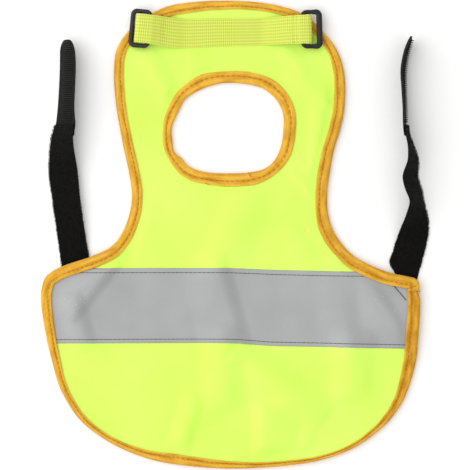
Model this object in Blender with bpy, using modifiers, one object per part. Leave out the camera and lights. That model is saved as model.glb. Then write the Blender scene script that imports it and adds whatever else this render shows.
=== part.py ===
"""Chicken safety vest, laid flat with its right side up.

Everything is worked out in millimetres and written to the meshes in metres.
+X is the vest's right as seen from above, +Y its neck end, +Z up, and Z = 0
is the surface it lies on. The origin is under the middle of the whole piece.
"""

from math import cos, pi, radians, sin

import bmesh
import bpy
import numpy as np
from mathutils import Euler

MM = 0.001
SHARP_ANGLE = radians(40)

# Cloth walls and the clearance left at every seam
CLOTH_WALL = 1.0
WEBBING_WALL = 1.2
STRAP_WALL = 1.2
SEAM_GAP = 0.3
CELL = 6.5                 # spacing of the points that shape the panel and the tape
CUTTER_REACH = 30.0        # the cutters stand this far above and below the surface
WELD = 0.01

# Widths of the narrow goods
BINDING_WIDTH = 7.8        # folded edge binding, outer fold to inner edge
HEM_WIDTH = 4.4            # what shows of the upper leg where it rolls under the hem
HEM_ROLL_HEIGHT = -96.0    # the upper leg narrows from here down
HEM_ROLL_LENGTH = 34.0
FOLD_ROUND = (0.33, 1.1)   # the fold is rounded off from these distances
STRAP_TIP_ROUND = 9.0
STRAP_TIP_FLAT = 0.16      # share of the width left at the very tip
TIP_STATIONS = (0.0, 0.08, 0.25, 0.55, 1.0)    # sections of the rounded tip, as shares of it
STRAP_STEP = 6.0
STRAP_CLEAR = 0.08         # the twisted edge stays this far above the surface
STRAP_LAP_GAP = 0.5        # between the loop piece and the hook tape under its end
STRAP_LAP = 26.0           # the loop piece starts to rise this far before its end
STRAP_LAP_RAMP = 16.0

# Body outline at the outer fold of its binding: height, left edge, right edge
BODY_SECTIONS = (
    (155.4, -25.3, 11.4),
    (152.3, -44.9, 30.7),
    (146.6, -57.1, 46.3),
    (135.8, -71.1, 58.5),
    (123.1, -79.0, 67.9),
    (108.5, -80.7, 72.7),
    (87.1, -79.3, 73.2),
    (71.1, -76.7, 70.5),
    (56.5, -73.9, 66.0),
    (41.8, -70.7, 63.3),
    (26.5, -68.7, 61.5),
    (13.8, -70.3, 62.1),
    (1.8, -74.9, 66.1),
    (-7.5, -81.9, 72.5),
    (-14.2, -94.9, 79.3),
    (-20.2, -112.9, 90.1),
    (-24.9, -122.3, 102.1),
    (-28.5, -126.3, 119.0),
    (-36.9, -129.0, 123.1),
    (-46.2, -129.1, 123.5),
    (-71.3, -125.1, 122.1),
    (-83.5, -122.1, 120.9),
    (-98.9, -117.9, 116.9),
    (-112.2, -111.5, 111.3),
    (-124.5, -102.4, 102.4),
    (-135.5, -88.4, 89.7),
    (-143.5, -73.6, 76.7),
    (-150.5, -53.6, 56.7),
    (-154.2, -31.3, 32.7),
)
TOP_POINT = (-8.0, 156.1)
BOTTOM_POINT = (-1.5, -156.0)
CORNER_POINT = (122.6, -29.3)    # where the two ends of the binding meet
OUTLINE_STEP = 6.0
FINE_STEPS = 40            # points read between two rows before they are evened out
MITRE_SLACK = 0.12         # inner edge points nearer to the fold than this are in a bend's mitre
BUTT_POINTS = 3            # points at each end that belong to the butted corner instead

# Neck hole: an oval whose lower half is a little squarer than its upper half
NECK_CENTRE = (-4.1, 71.1)
NECK_HALF_WIDTH = 37.4
NECK_RISE = 30.0
NECK_DROP = 30.8
NECK_POWER_ABOVE = 2.1
NECK_POWER_BELOW = 2.5
NECK_POINTS = 56

# Reflective tape across the body: x, upper edge, lower edge
TAPE_SECTIONS = (
    (-134.0, -22.7, -72.5),
    (-6.0, -22.5, -72.1),
    (14.0, -23.3, -72.5),
    (24.0, -23.9, -74.1),
    (62.0, -24.5, -74.6),
    (130.0, -25.3, -76.3),
)

# Largest soft folds of the body: start x, y, end x, y, half width, height
FOLDS = (
    (-15.9, -80.0, -9.3, -116.2, 12.0, 1.8),
    (-29.3, -106.0, -36.0, -132.0, 13.0, 1.5),
    (0.1, -86.0, 38.1, -116.2, 15.0, 1.8),
    (71.0, -82.0, 68.0, -118.2, 14.0, 2.0),
    (14.1, -120.0, 11.8, -138.0, 11.0, 1.3),
    (-61.0, 104.0, -47.0, 92.5, 12.0, 1.2),
    (41.0, 92.0, 54.0, 83.0, 12.0, 1.2),
    (0.7, 22.0, -15.0, -14.0, 17.0, 1.7),
    (-72.0, -32.0, -95.0, -58.0, 15.0, 1.2),
    (-5.3, -30.0, 9.4, -63.5, 14.0, 1.3),
    (84.0, -36.0, 101.0, -60.0, 14.0, 1.1),
)

# Webbing that carries the rings: x, y of its centre line, width, lean in degrees
WEBBING_SECTIONS = (
    (-70.0, 138.0, 18.9, 5.5),
    (-56.0, 136.7, 18.9, 5.5),
    (-40.0, 134.4, 19.6, 1.0),
    (-10.0, 134.8, 18.6, 0.0),
    (20.0, 135.4, 18.2, 0.0),
    (38.0, 136.4, 18.8, -1.5),
    (45.0, 136.7, 18.9, -1.5),
    (56.0, 137.0, 18.9, -1.5),
)
WEBBING_TAIL = 20.0        # turned-back end, from the fold to its stitched edge
WEBBING_RUN = 12.5         # stretch over which it comes down onto the panel
WEBBING_SPAN_POINTS = 9    # between its two runs
LOOP_STEPS = 8             # half turn of the loop round the ring's bar

# Upper layer behind the loop: distance past the bar, share of the loop's height left
LOOP_FALL = (
    (2.0, 0.94),
    (5.0, 0.6),
)

# Rings: name, side (+1 right), axis x, axis y, lean, outer bar diameter, fold reach
RINGS = (
    ("ring_left", -1, -57.2, 136.8, 5.5, 3.2, 8.8),
    ("ring_right", 1, 45.3, 136.7, -1.5, 3.9, 5.6),
)
RING_LONG = 25.8
RING_SHORT = 14.5
RING_BAR = 2.9
RING_PLAY = 0.45           # clearance between the hinge bar and the webbing's loop
RING_CORNER = 2.6          # centre-line radius of the corners
RING_CORNER_STEPS = 4
RING_FLARE_END = 0.6       # the outer bar's thickness is reached this far before its centre line

# Straps: height, left edge, right edge, how far the raised edge stands up
LEFT_STRAP = (
    (129.8, -117.1, -106.9, 17.2),
    (114.5, -117.1, -105.8, 16.5),
    (95.8, -117.8, -106.3, 16.4),
    (83.1, -118.7, -106.7, 16.0),
    (73.1, -119.9, -106.1, 14.5),
    (65.8, -121.7, -106.9, 13.5),
    (55.8, -123.3, -106.5, 10.8),
    (40.7, -123.9, -104.6, 5.4),
    (26.5, -122.1, -103.3, 5.2),
    (5.1, -119.1, -100.6, 3.0),
    (-15.2, -116.3, -97.4, 0.0),
    (-48.9, -111.8, -91.9, 0.0),
)
RIGHT_STRAP = (
    (132.0, 116.1, 120.4, 19.3),
    (121.6, 112.4, 116.9, 19.4),
    (110.9, 110.3, 115.2, 19.3),
    (96.1, 111.2, 114.8, 19.6),
    (83.1, 112.3, 115.3, 19.6),
    (73.1, 112.7, 114.8, 19.8),
    (66.5, 113.3, 115.6, 19.8),
    (59.5, 114.2, 118.5, 19.4),
    (50.5, 114.6, 122.2, 18.3),
    (38.2, 111.2, 122.3, 16.2),
    (29.8, 113.1, 124.7, 15.8),
    (23.1, 115.7, 125.9, 16.8),
    (13.5, 113.7, 128.3, 13.0),
    (3.9, 110.3, 129.2, 5.0),
    (-9.5, 106.0, 126.9, 0.0),
    (-19.5, 103.5, 124.2, 0.0),
    (-25.5, 106.6, 122.7, 0.0),
    (-46.9, 111.4, 117.4, 0.0),
)

# Strap pieces: side, rows, raised edge (+1 right), loop piece's upper end, hook piece's lower end
STRAPS = (
    ("left", LEFT_STRAP, 1, 73.1, 65.8),
    ("right", RIGHT_STRAP, -1, 73.1, 65.8),
)

# Hidden strap ends that lift the cloth: x, y where they go in, x, y where they stop
STRAP_ROOTS = (
    (-106.5, -16.0, -101.9, -48.9),
    (113.9, -18.0, 114.4, -46.9),
)
ROOT_PLATEAU = 15.0
ROOT_SLOPE = 28.0

EDGE_LIFT = CLOTH_WALL + SEAM_GAP            # the panel lies inside the folded binding
STRAP_LIFT = STRAP_WALL + STRAP_CLEAR + SEAM_GAP
TAPE_LIFT = CLOTH_WALL + SEAM_GAP
FLAT_MARGIN = BINDING_WIDTH + CELL           # level cloth this far in from an edge
EDGE_SLOPE = 17.0
TAPE_CLEAR_ABOVE = 6.0
TAPE_CLEAR_BELOW = 3.0
TAPE_RAMP = 8.0
BINDING_HEIGHT = 3 * CLOTH_WALL + 2 * SEAM_GAP


def clear_scene():
    for item in list(bpy.data.objects):
        bpy.data.objects.remove(item, do_unlink=True)


def new_collection(name):
    collection = bpy.data.collections.new(name)
    bpy.context.scene.collection.children.link(collection)
    return collection


def surface_material(name, colour, roughness, metallic=0.0):
    material = bpy.data.materials.new(name)
    material.use_nodes = True
    shader = material.node_tree.nodes["Principled BSDF"]
    shader.inputs["Base Color"].default_value = (*colour, 1.0)
    shader.inputs["Roughness"].default_value = roughness
    shader.inputs["Metallic"].default_value = metallic
    return material


def fluorescent_cloth():
    return surface_material("fluorescent_polyester", (0.74, 0.98, 0.14), 0.75)


def reflective_tape_finish():
    return surface_material("glass_bead_tape", (0.44, 0.45, 0.45), 0.5)


def binding_cloth():
    return surface_material("amber_binding", (0.78, 0.42, 0.05), 0.8)


def webbing_weave():
    return surface_material("elastic_webbing", (0.70, 0.82, 0.13), 0.8)


def black_plastic():
    return surface_material("black_acetal", (0.02, 0.02, 0.022), 0.4)


def loop_pile():
    return surface_material("black_loop_pile", (0.012, 0.012, 0.012), 0.95)


def hook_tape():
    return surface_material("black_hook_tape", (0.025, 0.025, 0.025), 0.6)


def ease(share):
    """Smooth step from 0 to 1."""
    share = np.clip(share, 0.0, 1.0)
    return share * share * (3.0 - 2.0 * share)


def slopes(knots, values):
    """Slope of the curve through values at every knot, one-sided at the ends."""
    chords = np.diff(values, axis=0) / np.diff(knots)[:, None]
    before = np.diff(knots)[:-1, None]
    after = np.diff(knots)[1:, None]
    middle = (chords[:-1] * after + chords[1:] * before) / (before + after)
    return np.vstack((chords[:1], middle, chords[-1:]))


def cubic(knots, values, at):
    """Read the smooth curve through values at the places in at."""
    tangents = slopes(knots, values)
    span = np.clip(np.searchsorted(knots, at, side="right") - 1, 0, len(knots) - 2)
    length = (knots[span + 1] - knots[span])[:, None]
    t = ((at - knots[span])[:, None]) / length
    start = (1 + 2 * t) * (1 - t) ** 2 * values[span] + t * (1 - t) ** 2 * length * tangents[span]
    end = t * t * (3 - 2 * t) * values[span + 1] + t * t * (t - 1) * length * tangents[span + 1]
    return start + end


def read_table(rows, at):
    """Every column of a table, smoothly between its rows, for values of the first column."""
    table = np.array(sorted(rows), dtype=float)
    return cubic(table[:, 0], table[:, 1:], np.asarray(at, dtype=float))


def even_path(points, spacing):
    """Points at an even spacing along a smooth curve through the given ones."""
    points = np.array(points, dtype=float)
    gaps = np.linalg.norm(np.diff(points, axis=0), axis=1)
    knots = np.concatenate(([0.0], np.cumsum(np.sqrt(gaps))))
    fine = cubic(knots, points, np.linspace(0.0, knots[-1], FINE_STEPS * len(points)))
    run = np.concatenate(([0.0], np.cumsum(np.linalg.norm(np.diff(fine, axis=0), axis=1))))
    count = int(round(run[-1] / spacing)) + 1
    at = np.linspace(0.0, run[-1], count)
    return np.column_stack([np.interp(at, run, fine[:, axis]) for axis in range(points.shape[1])])


def body_path():
    """Outer fold of the binding, clockwise from the right corner and back to it."""
    below = [row for row in BODY_SECTIONS if row[0] < CORNER_POINT[1]]
    above = [row for row in BODY_SECTIONS if row[0] >= CORNER_POINT[1]]
    points = [CORNER_POINT]
    points += [(right, height) for height, left, right in below]
    points += [BOTTOM_POINT]
    points += [(left, height) for height, left, right in reversed(below)]
    points += [(left, height) for height, left, right in reversed(above)]
    points += [TOP_POINT]
    points += [(right, height) for height, left, right in above]
    points += [CORNER_POINT]
    return even_path(points, OUTLINE_STEP)


def neck_path(grow=0.0, count=NECK_POINTS):
    """The neck hole's edge, or the same oval grown by a distance."""
    angles = np.linspace(0.0, 2 * pi, count, endpoint=False)
    across = np.cos(angles)
    along = np.sin(angles)
    power = np.where(along >= 0.0, NECK_POWER_ABOVE, NECK_POWER_BELOW)
    reach = np.where(along >= 0.0, NECK_RISE, NECK_DROP)
    x = np.sign(across) * np.abs(across) ** (2.0 / power) * (NECK_HALF_WIDTH + grow)
    y = np.sign(along) * np.abs(along) ** (2.0 / power) * (reach + grow)
    return np.column_stack((x + NECK_CENTRE[0], y + NECK_CENTRE[1]))


def unit(vectors):
    return vectors / np.linalg.norm(vectors, axis=-1, keepdims=True)


def turned_right(vectors):
    """Each plane vector turned a quarter turn clockwise."""
    return np.column_stack((vectors[:, 1], -vectors[:, 0]))


def inset(loop, distance):
    """A closed clockwise loop moved inwards, with mitred corners."""
    before = turned_right(unit(loop - np.roll(loop, 1, axis=0)))
    after = turned_right(unit(np.roll(loop, -1, axis=0) - loop))
    mitre = (before + after) / (1.0 + np.sum(before * after, axis=1))[:, None]
    return loop + distance * mitre


def distance_to(points, line, closed=True):
    """Distance in plan from each point to a line of straight runs."""
    ends = np.roll(line, -1, axis=0) if closed else line[1:]
    starts = line if closed else line[:-1]
    runs = ends - starts
    offsets = points[:, None, :] - starts[None, :, :]
    share = np.sum(offsets * runs, axis=2) / np.sum(runs * runs, axis=1)
    offsets -= np.clip(share, 0.0, 1.0)[:, :, None] * runs
    return np.sqrt(np.min(np.sum(offsets * offsets, axis=2), axis=1))


def root_lift(points):
    """How far the hidden strap ends hold the cloth up."""
    lift = np.zeros(len(points))
    for x1, y1, x2, y2 in STRAP_ROOTS:
        away = distance_to(points, np.array([(x1, y1), (x2, y2)]), closed=False)
        lift = np.maximum(lift, STRAP_LIFT * (1.0 - ease((away - ROOT_PLATEAU) / ROOT_SLOPE)))
    return lift


def fold_height(points):
    """Soft folds: each is a rounded ridge round the line between its two ends."""
    height = np.zeros(len(points))
    for x1, y1, x2, y2, half_width, rise in FOLDS:
        away = distance_to(points, np.array([(x1, y1), (x2, y2)]), closed=False)
        height += rise * np.clip(1.0 - (away / half_width) ** 2, 0.0, 1.0) ** 2
    return height


def cloth_underside(points, edge, neck):
    """Height of the panel's underside: level in the bindings, flat on the surface within."""
    from_edge = np.minimum(distance_to(points, edge), distance_to(points, neck))
    within = ease((from_edge - FLAT_MARGIN) / EDGE_SLOPE)
    return EDGE_LIFT * (1.0 - within) + fold_height(points) * within + root_lift(points)


def tape_edges(x):
    """Upper and lower edge of the reflective tape at each x."""
    table = np.array(TAPE_SECTIONS)
    return np.interp(x, table[:, 0], table[:, 1]), np.interp(x, table[:, 0], table[:, 2])


def tape_lift(points):
    """How far the tape's end holds up the upper leg of the binding."""
    upper, lower = tape_edges(points[:, 0])
    above = ease((points[:, 1] - upper - TAPE_CLEAR_ABOVE) / TAPE_RAMP)
    below = ease((lower - points[:, 1] - TAPE_CLEAR_BELOW) / TAPE_RAMP)
    return TAPE_LIFT * (1.0 - above) * (1.0 - below)


def finish_mesh(name, work, collection, material):
    """Turn a bmesh in millimetres into an object of the part."""
    bmesh.ops.scale(work, vec=(MM, MM, MM), verts=work.verts)
    mesh = bpy.data.meshes.new(name)
    work.to_mesh(mesh)
    work.free()
    mesh.materials.append(material)
    mesh.shade_smooth()
    mesh.set_sharp_from_angle(angle=SHARP_ANGLE)
    item = bpy.data.objects.new(name, mesh)
    collection.objects.link(item)
    return item


def plan_cutter(name, loops, collection):
    """A tall block with the outline of the first loop and the others as holes."""
    curve = bpy.data.curves.new(name, "CURVE")
    curve.dimensions = "2D"
    curve.fill_mode = "BOTH"
    curve.extrude = CUTTER_REACH * MM
    for loop in loops:
        spline = curve.splines.new("POLY")
        spline.points.add(len(loop) - 1)
        for point, (x, y) in zip(spline.points, loop):
            point.co = (x * MM, y * MM, 0.0, 1.0)
        spline.use_cyclic_u = True
    drawn = bpy.data.objects.new(name + "_outline", curve)
    collection.objects.link(drawn)
    bpy.context.view_layer.update()
    mesh = bpy.data.meshes.new_from_object(drawn.evaluated_get(bpy.context.evaluated_depsgraph_get()))
    work = bmesh.new()
    work.from_mesh(mesh)
    bmesh.ops.remove_doubles(work, verts=work.verts, dist=WELD * MM)
    bmesh.ops.recalc_face_normals(work, faces=work.faces)
    work.to_mesh(mesh)
    work.free()
    block = bpy.data.objects.new(name, mesh)
    block.matrix_world = drawn.matrix_world
    bpy.data.objects.remove(drawn)
    collection.objects.link(block)
    block.hide_render = True
    block.display_type = "WIRE"
    return block


def cut_by(item, cutter, operation):
    modifier = item.modifiers.new(cutter.name, "BOOLEAN")
    modifier.operation = operation
    modifier.solver = "EXACT"
    modifier.object = cutter


def cloth_sheet(name, x_range, y_range, lift, edge, neck, collection, material):
    """A sheet of the body's cloth before cutting: shared points, moved up by lift."""
    first = (int(np.floor(x_range[0] / CELL)), int(np.floor(y_range[0] / CELL)))
    last = (int(np.ceil(x_range[1] / CELL)), int(np.ceil(y_range[1] / CELL)))
    cells = (last[0] - first[0], last[1] - first[1])
    work = bmesh.new()
    bmesh.ops.create_grid(work, x_segments=cells[0], y_segments=cells[1], size=0.5)
    places = np.array([vertex.co[:2] for vertex in work.verts]) + 0.5
    places = (places * cells + first) * CELL
    heights = cloth_underside(places, edge, neck) + lift
    for vertex, (x, y), z in zip(work.verts, places, heights):
        vertex.co = (x, y, z)
    bmesh.ops.triangulate(work, faces=work.faces, quad_method="FIXED")
    sheet = finish_mesh(name, work, collection, material)
    wall = sheet.modifiers.new("wall", "SOLIDIFY")
    wall.thickness = CLOTH_WALL * MM
    wall.offset = 1.0
    return sheet


def loft(name, sections, closed, collection, material):
    """One skin through sections with the same number of points."""
    work = bmesh.new()
    rings = [[work.verts.new(point) for point in section] for section in sections]
    pairs = list(zip(rings, rings[1:]))
    if closed:
        pairs.append((rings[-1], rings[0]))
    for one, two in pairs:
        for a, b, c, d in zip(one, one[1:] + one[:1], two[1:] + two[:1], two):
            work.faces.new((a, b, c, d))
    if not closed:
        work.faces.new(rings[0])
        work.faces.new(rings[-1])
    bmesh.ops.remove_doubles(work, verts=work.verts, dist=WELD)
    bmesh.ops.triangulate(work, faces=work.faces)
    bmesh.ops.recalc_face_normals(work, faces=work.faces)
    return finish_mesh(name, work, collection, material)


def binding_outline():
    """Cross-section of a folded binding: distance from the fold, height, and which leg it is on."""
    top = BINDING_HEIGHT
    round_one, round_two = FOLD_ROUND
    return (
        ("leg", 0.0, "lower"),
        (round_two, 0.0, "lower"),
        (round_one, round_one, "lower"),
        (0.0, round_two, "lower"),
        (0.0, top - round_two, "upper"),
        (round_one, top - round_one, "upper"),
        (round_two, top, "upper"),
        ("leg", top, "upper"),
        ("leg", top - CLOTH_WALL, "upper"),
        (CLOTH_WALL, top - CLOTH_WALL, "upper"),
        (CLOTH_WALL, CLOTH_WALL, "lower"),
        ("leg", CLOTH_WALL, "lower"),
    )


def upper_leg_width(points):
    """The upper leg narrows along the hem, where the binding rolls under."""
    roll = ease((HEM_ROLL_HEIGHT - points[:, 1]) / HEM_ROLL_LENGTH)
    return BINDING_WIDTH - (BINDING_WIDTH - HEM_WIDTH) * roll


def binding_sections(folds, edges):
    """Sections from each point of the fold line to the matching inner edge point."""
    across = edges - folds
    length = np.linalg.norm(across, axis=1, keepdims=True)
    upper_share = (upper_leg_width(folds) / BINDING_WIDTH)[:, None]
    columns = []
    for reach, height, leg in binding_outline():
        if reach == "leg":
            share = upper_share if leg == "upper" else np.ones_like(length)
        else:
            share = reach / BINDING_WIDTH * np.ones_like(length)
        places = folds + share * across
        z = height + root_lift(places)
        if leg == "upper":
            z += tape_lift(places)
        columns.append(np.column_stack((places, z)))
    return np.stack(columns, axis=1)


def mitred_edges(folds, inward, width, loop):
    """Inner edge points; where a tight bend would cross them they share its mitre."""
    edges = folds + width * inward
    crossed = distance_to(edges, loop) < width - MITRE_SLACK
    crossed[:BUTT_POINTS] = False
    crossed[-BUTT_POINTS:] = False
    clear = np.flatnonzero(~crossed)
    for index in np.flatnonzero(crossed):
        before = clear[clear < index].max()
        after = clear[clear > index].min()
        edges[index] = (edges[before] + edges[after]) / 2
    return edges


def point_along(path, distance):
    """The point of a path at a distance from its start."""
    run = np.concatenate(([0.0], np.cumsum(np.linalg.norm(np.diff(path, axis=0), axis=1))))
    return np.array([[np.interp(distance, run, path[:, axis]) for axis in range(2)]])


def edge_binding(path, collection, material):
    """The long binding: a strip folded over the edge, one end butted under the other at the corner."""
    tangents = unit(np.gradient(path, axis=0))
    butt = BINDING_WIDTH + SEAM_GAP
    next_point = int(np.ceil(butt / OUTLINE_STEP))
    folds = np.vstack((point_along(path, butt), path[next_point:]))
    inward = np.vstack((-tangents[-1:], turned_right(tangents[next_point:])))
    edges = mitred_edges(folds, inward, BINDING_WIDTH, path[:-1])
    return loft("edge_binding", binding_sections(folds, edges), False, collection, material)


def neck_binding(collection, material):
    """The short binding round the neck hole, its legs spreading outwards from the fold."""
    folds = neck_path()
    tangents = unit(np.roll(folds, -1, axis=0) - np.roll(folds, 1, axis=0))
    edges = folds + BINDING_WIDTH * turned_right(tangents)
    return loft("neck_binding", binding_sections(folds, edges), True, collection, material)


def webbing_centre_line():
    """Side view of the webbing, x and z, from its left turned-back end to its right one."""
    rest = EDGE_LIFT + CLOTH_WALL + SEAM_GAP + WEBBING_WALL / 2
    tail = BINDING_HEIGHT + SEAM_GAP + WEBBING_WALL / 2
    doubled = tail + WEBBING_WALL + SEAM_GAP
    turn = RING_BAR / 2 + RING_PLAY + WEBBING_WALL / 2
    halves = []
    for name, side, axis_x, axis_y, lean, outer_bar, reach in RINGS:
        fold_centre = reach - turn
        fold_tip = axis_x + side * reach
        stitched = fold_tip - side * WEBBING_TAIL
        half = [(stitched, tail), ((stitched + axis_x) / 2, tail), (axis_x, tail)]
        half += [(axis_x + side * fold_centre, tail)]
        for step in range(1, LOOP_STEPS):
            angle = pi * step / LOOP_STEPS
            half.append((axis_x + side * (fold_centre + turn * sin(angle)), tail + turn - turn * cos(angle)))
        half += [(axis_x + side * fold_centre, tail + 2 * turn), (axis_x, tail + 2 * turn)]
        for past, share in LOOP_FALL:
            half.append((axis_x - side * past, doubled + share * (tail + 2 * turn - doubled)))
        half += [(stitched, doubled)]
        half += [(stitched - side * WEBBING_RUN / 2, (doubled + rest) / 2)]
        half += [(stitched - side * WEBBING_RUN, rest)]
        halves.append(half)
    left, right = halves
    middle = np.linspace(left[-1][0], right[-1][0], WEBBING_SPAN_POINTS)[1:-1]
    return left + [(x, rest) for x in middle] + right[::-1]


def ring_webbing(collection, material):
    """Flat webbing with both ends turned back round a ring's inner bar."""
    line = np.array(webbing_centre_line())
    centre_y, width, lean = read_table(WEBBING_SECTIONS, line[:, 0]).T
    lean = np.radians(lean)
    work = bmesh.new()
    rows = []
    for share in (-0.5, 0.0, 0.5):
        x = line[:, 0] + share * width * np.sin(lean)
        y = centre_y + share * width * np.cos(lean)
        rows.append([work.verts.new(point) for point in zip(x, y, line[:, 1])])
    for lower, upper in zip(rows, rows[1:]):
        for a, b, c, d in zip(lower, lower[1:], upper[1:], upper):
            work.faces.new((a, b, c, d))
    bmesh.ops.triangulate(work, faces=work.faces)
    webbing = finish_mesh("ring_webbing", work, collection, material)
    add_wall(webbing, WEBBING_WALL)
    return webbing


def add_wall(item, thickness):
    wall = item.modifiers.new("wall", "SOLIDIFY")
    wall.thickness = thickness * MM
    wall.offset = 0.0
    wall.use_even_offset = True


def ring_bar_line(outer_bar):
    """Centre line of a ring from its hinge bar at x = 0, with the share of bar radius."""
    far = RING_SHORT - RING_BAR / 2 - outer_bar / 2
    half = (RING_LONG - RING_BAR) / 2
    centres = (
        (far - RING_CORNER, half - RING_CORNER, 0.0),
        (RING_CORNER, half - RING_CORNER, 0.5),
        (RING_CORNER, RING_CORNER - half, 1.0),
        (far - RING_CORNER, RING_CORNER - half, 1.5),
    )
    line = []
    for x, y, start in centres:
        for step in range(RING_CORNER_STEPS + 1):
            angle = pi * (start + 0.5 * step / RING_CORNER_STEPS)
            line.append((x + RING_CORNER * cos(angle), y + RING_CORNER * sin(angle)))
    extra = outer_bar / RING_BAR - 1.0
    flare = far / 2 - RING_FLARE_END
    return [(x, y, 1.0 + extra * float(ease((x - far / 2) / flare))) for x, y in line]


def webbing_ring(row, collection, material):
    """A moulded ring lying on the binding, its origin on the bar that it swings about."""
    name, side, axis_x, axis_y, lean, outer_bar, reach = row
    curve = bpy.data.curves.new(name, "CURVE")
    curve.dimensions = "3D"
    curve.bevel_depth = RING_BAR / 2 * MM
    curve.bevel_resolution = 2
    curve.resolution_u = 1
    line = ring_bar_line(outer_bar)
    spline = curve.splines.new("POLY")
    spline.points.add(len(line) - 1)
    for point, (x, y, radius) in zip(spline.points, line):
        point.co = (x * MM, y * MM, 0.0, 1.0)
        point.radius = radius
    spline.use_cyclic_u = True
    curve.materials.append(material)
    ring = bpy.data.objects.new(name, curve)
    collection.objects.link(ring)
    axis_z = BINDING_HEIGHT + SEAM_GAP + WEBBING_WALL + RING_PLAY + RING_BAR / 2
    far = RING_SHORT - RING_BAR / 2 - outer_bar / 2
    drop = axis_z - (BINDING_HEIGHT + SEAM_GAP + outer_bar / 2)
    heading = radians(-lean) if side > 0 else pi - radians(lean)
    ring.location = (axis_x * MM, axis_y * MM, axis_z * MM)
    ring.rotation_euler = Euler((0.0, np.arcsin(drop / far), heading))
    return ring


def strap_sections(rows, raised, heights, offset):
    """Middle surface of a strap: low edge on the surface, raised edge above it."""
    left, right, rise = read_table(rows, heights).T
    rise = np.maximum(rise, 0.0)
    seen = right - left
    tilt = np.arctan2(rise, seen)
    floor = STRAP_WALL / 2 * np.cos(tilt) + STRAP_CLEAR
    lean = -raised * np.sin(tilt)
    low_z = floor
    high_z = floor + rise
    left_z, right_z = (low_z, high_z) if raised > 0 else (high_z, low_z)
    normal = np.column_stack((lean, np.zeros_like(lean), np.cos(tilt)))
    columns = []
    for share in (0.0, 0.5, 1.0):
        x = left + share * seen
        z = left_z + share * (right_z - left_z)
        columns.append(np.column_stack((x, heights, z)) + normal * offset[:, None])
    return np.stack(columns, axis=1)


def strap_piece(name, sections, collection, material):
    """A band through its sections with a wall of its own."""
    work = bmesh.new()
    rings = [[work.verts.new(point) for point in section] for section in sections]
    for one, two in zip(rings, rings[1:]):
        for a, b, c, d in zip(one, one[1:], two[1:], two):
            work.faces.new((a, b, c, d))
    bmesh.ops.triangulate(work, faces=work.faces)
    band = finish_mesh(name, work, collection, material)
    add_wall(band, STRAP_WALL)
    return band


def loop_strap(side, rows, raised, upper_end, collection, material):
    """The soft strap sewn under the corner; its free end laps over the hook tape."""
    lower_end = rows[-1][0]
    count = int(round((upper_end - lower_end) / STRAP_STEP)) + 1
    heights = np.linspace(lower_end, upper_end, count)
    risen = ease((heights - upper_end + STRAP_LAP) / STRAP_LAP_RAMP)
    over = (STRAP_WALL + STRAP_LAP_GAP) * risen
    sections = strap_sections(rows, raised, heights, over)
    return strap_piece("strap_%s_loop" % side, sections, collection, material)


def hook_strap(side, rows, raised, lower_end, collection, material):
    """The hook tape that ends the strap, with a rounded tip."""
    tip = rows[0][0]
    near_tip = STRAP_TIP_ROUND * np.array(TIP_STATIONS)
    count = int(round((tip - STRAP_TIP_ROUND - lower_end) / STRAP_STEP)) + 1
    heights = np.concatenate((tip - near_tip, np.linspace(tip - STRAP_TIP_ROUND, lower_end, count)[1:]))
    sections = strap_sections(rows, raised, heights, np.zeros(len(heights)))
    back = np.clip((tip - heights) / STRAP_TIP_ROUND, 0.0, 1.0)
    share = STRAP_TIP_FLAT + (1.0 - STRAP_TIP_FLAT) * np.sqrt(1.0 - (1.0 - back) ** 2)
    middle = sections[:, 1:2, :]
    sections = middle + (sections - middle) * share[:, None, None]
    return strap_piece("strap_%s_hook" % side, sections, collection, material)


def main():
    clear_scene()
    parts = new_collection("chicken_safety_vest")
    cutters = new_collection("cutters")

    cloth = fluorescent_cloth()
    binding = binding_cloth()
    path = body_path()
    edge = path[:-1]
    neck = neck_path()
    tuck = CLOTH_WALL + SEAM_GAP
    cut_edge = inset(edge, tuck)

    body_cutter = plan_cutter("body_cut", [cut_edge, neck_path(tuck)], cutters)
    x_range = (edge[:, 0].min(), edge[:, 0].max())
    y_range = (edge[:, 1].min(), edge[:, 1].max())
    panel = cloth_sheet("body_panel", x_range, y_range, 0.0, edge, neck, parts, cloth)
    cut_by(panel, body_cutter, "INTERSECT")

    upper = [(x, top) for x, top, bottom in TAPE_SECTIONS]
    lower = [(x, bottom) for x, top, bottom in reversed(TAPE_SECTIONS)]
    tape_cutter = plan_cutter("tape_cut", [upper + lower], cutters)
    band = (min(y for x, y in lower), max(y for x, y in upper))
    tape = cloth_sheet("reflective_tape", x_range, band, CLOTH_WALL + SEAM_GAP, edge, neck, parts,
                       reflective_tape_finish())
    cut_by(tape, body_cutter, "INTERSECT")
    cut_by(tape, tape_cutter, "INTERSECT")

    edge_binding(path, parts, binding)
    neck_binding(parts, binding)

    ring_webbing(parts, webbing_weave())
    plastic = black_plastic()
    for row in RINGS:
        webbing_ring(row, parts, plastic)

    pile = loop_pile()
    hooks = hook_tape()
    for side, rows, raised, loop_end, hook_end in STRAPS:
        loop_strap(side, rows, raised, loop_end, parts, pile)
        hook_strap(side, rows, raised, hook_end, parts, hooks)


main()
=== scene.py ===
from math import pi

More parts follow.
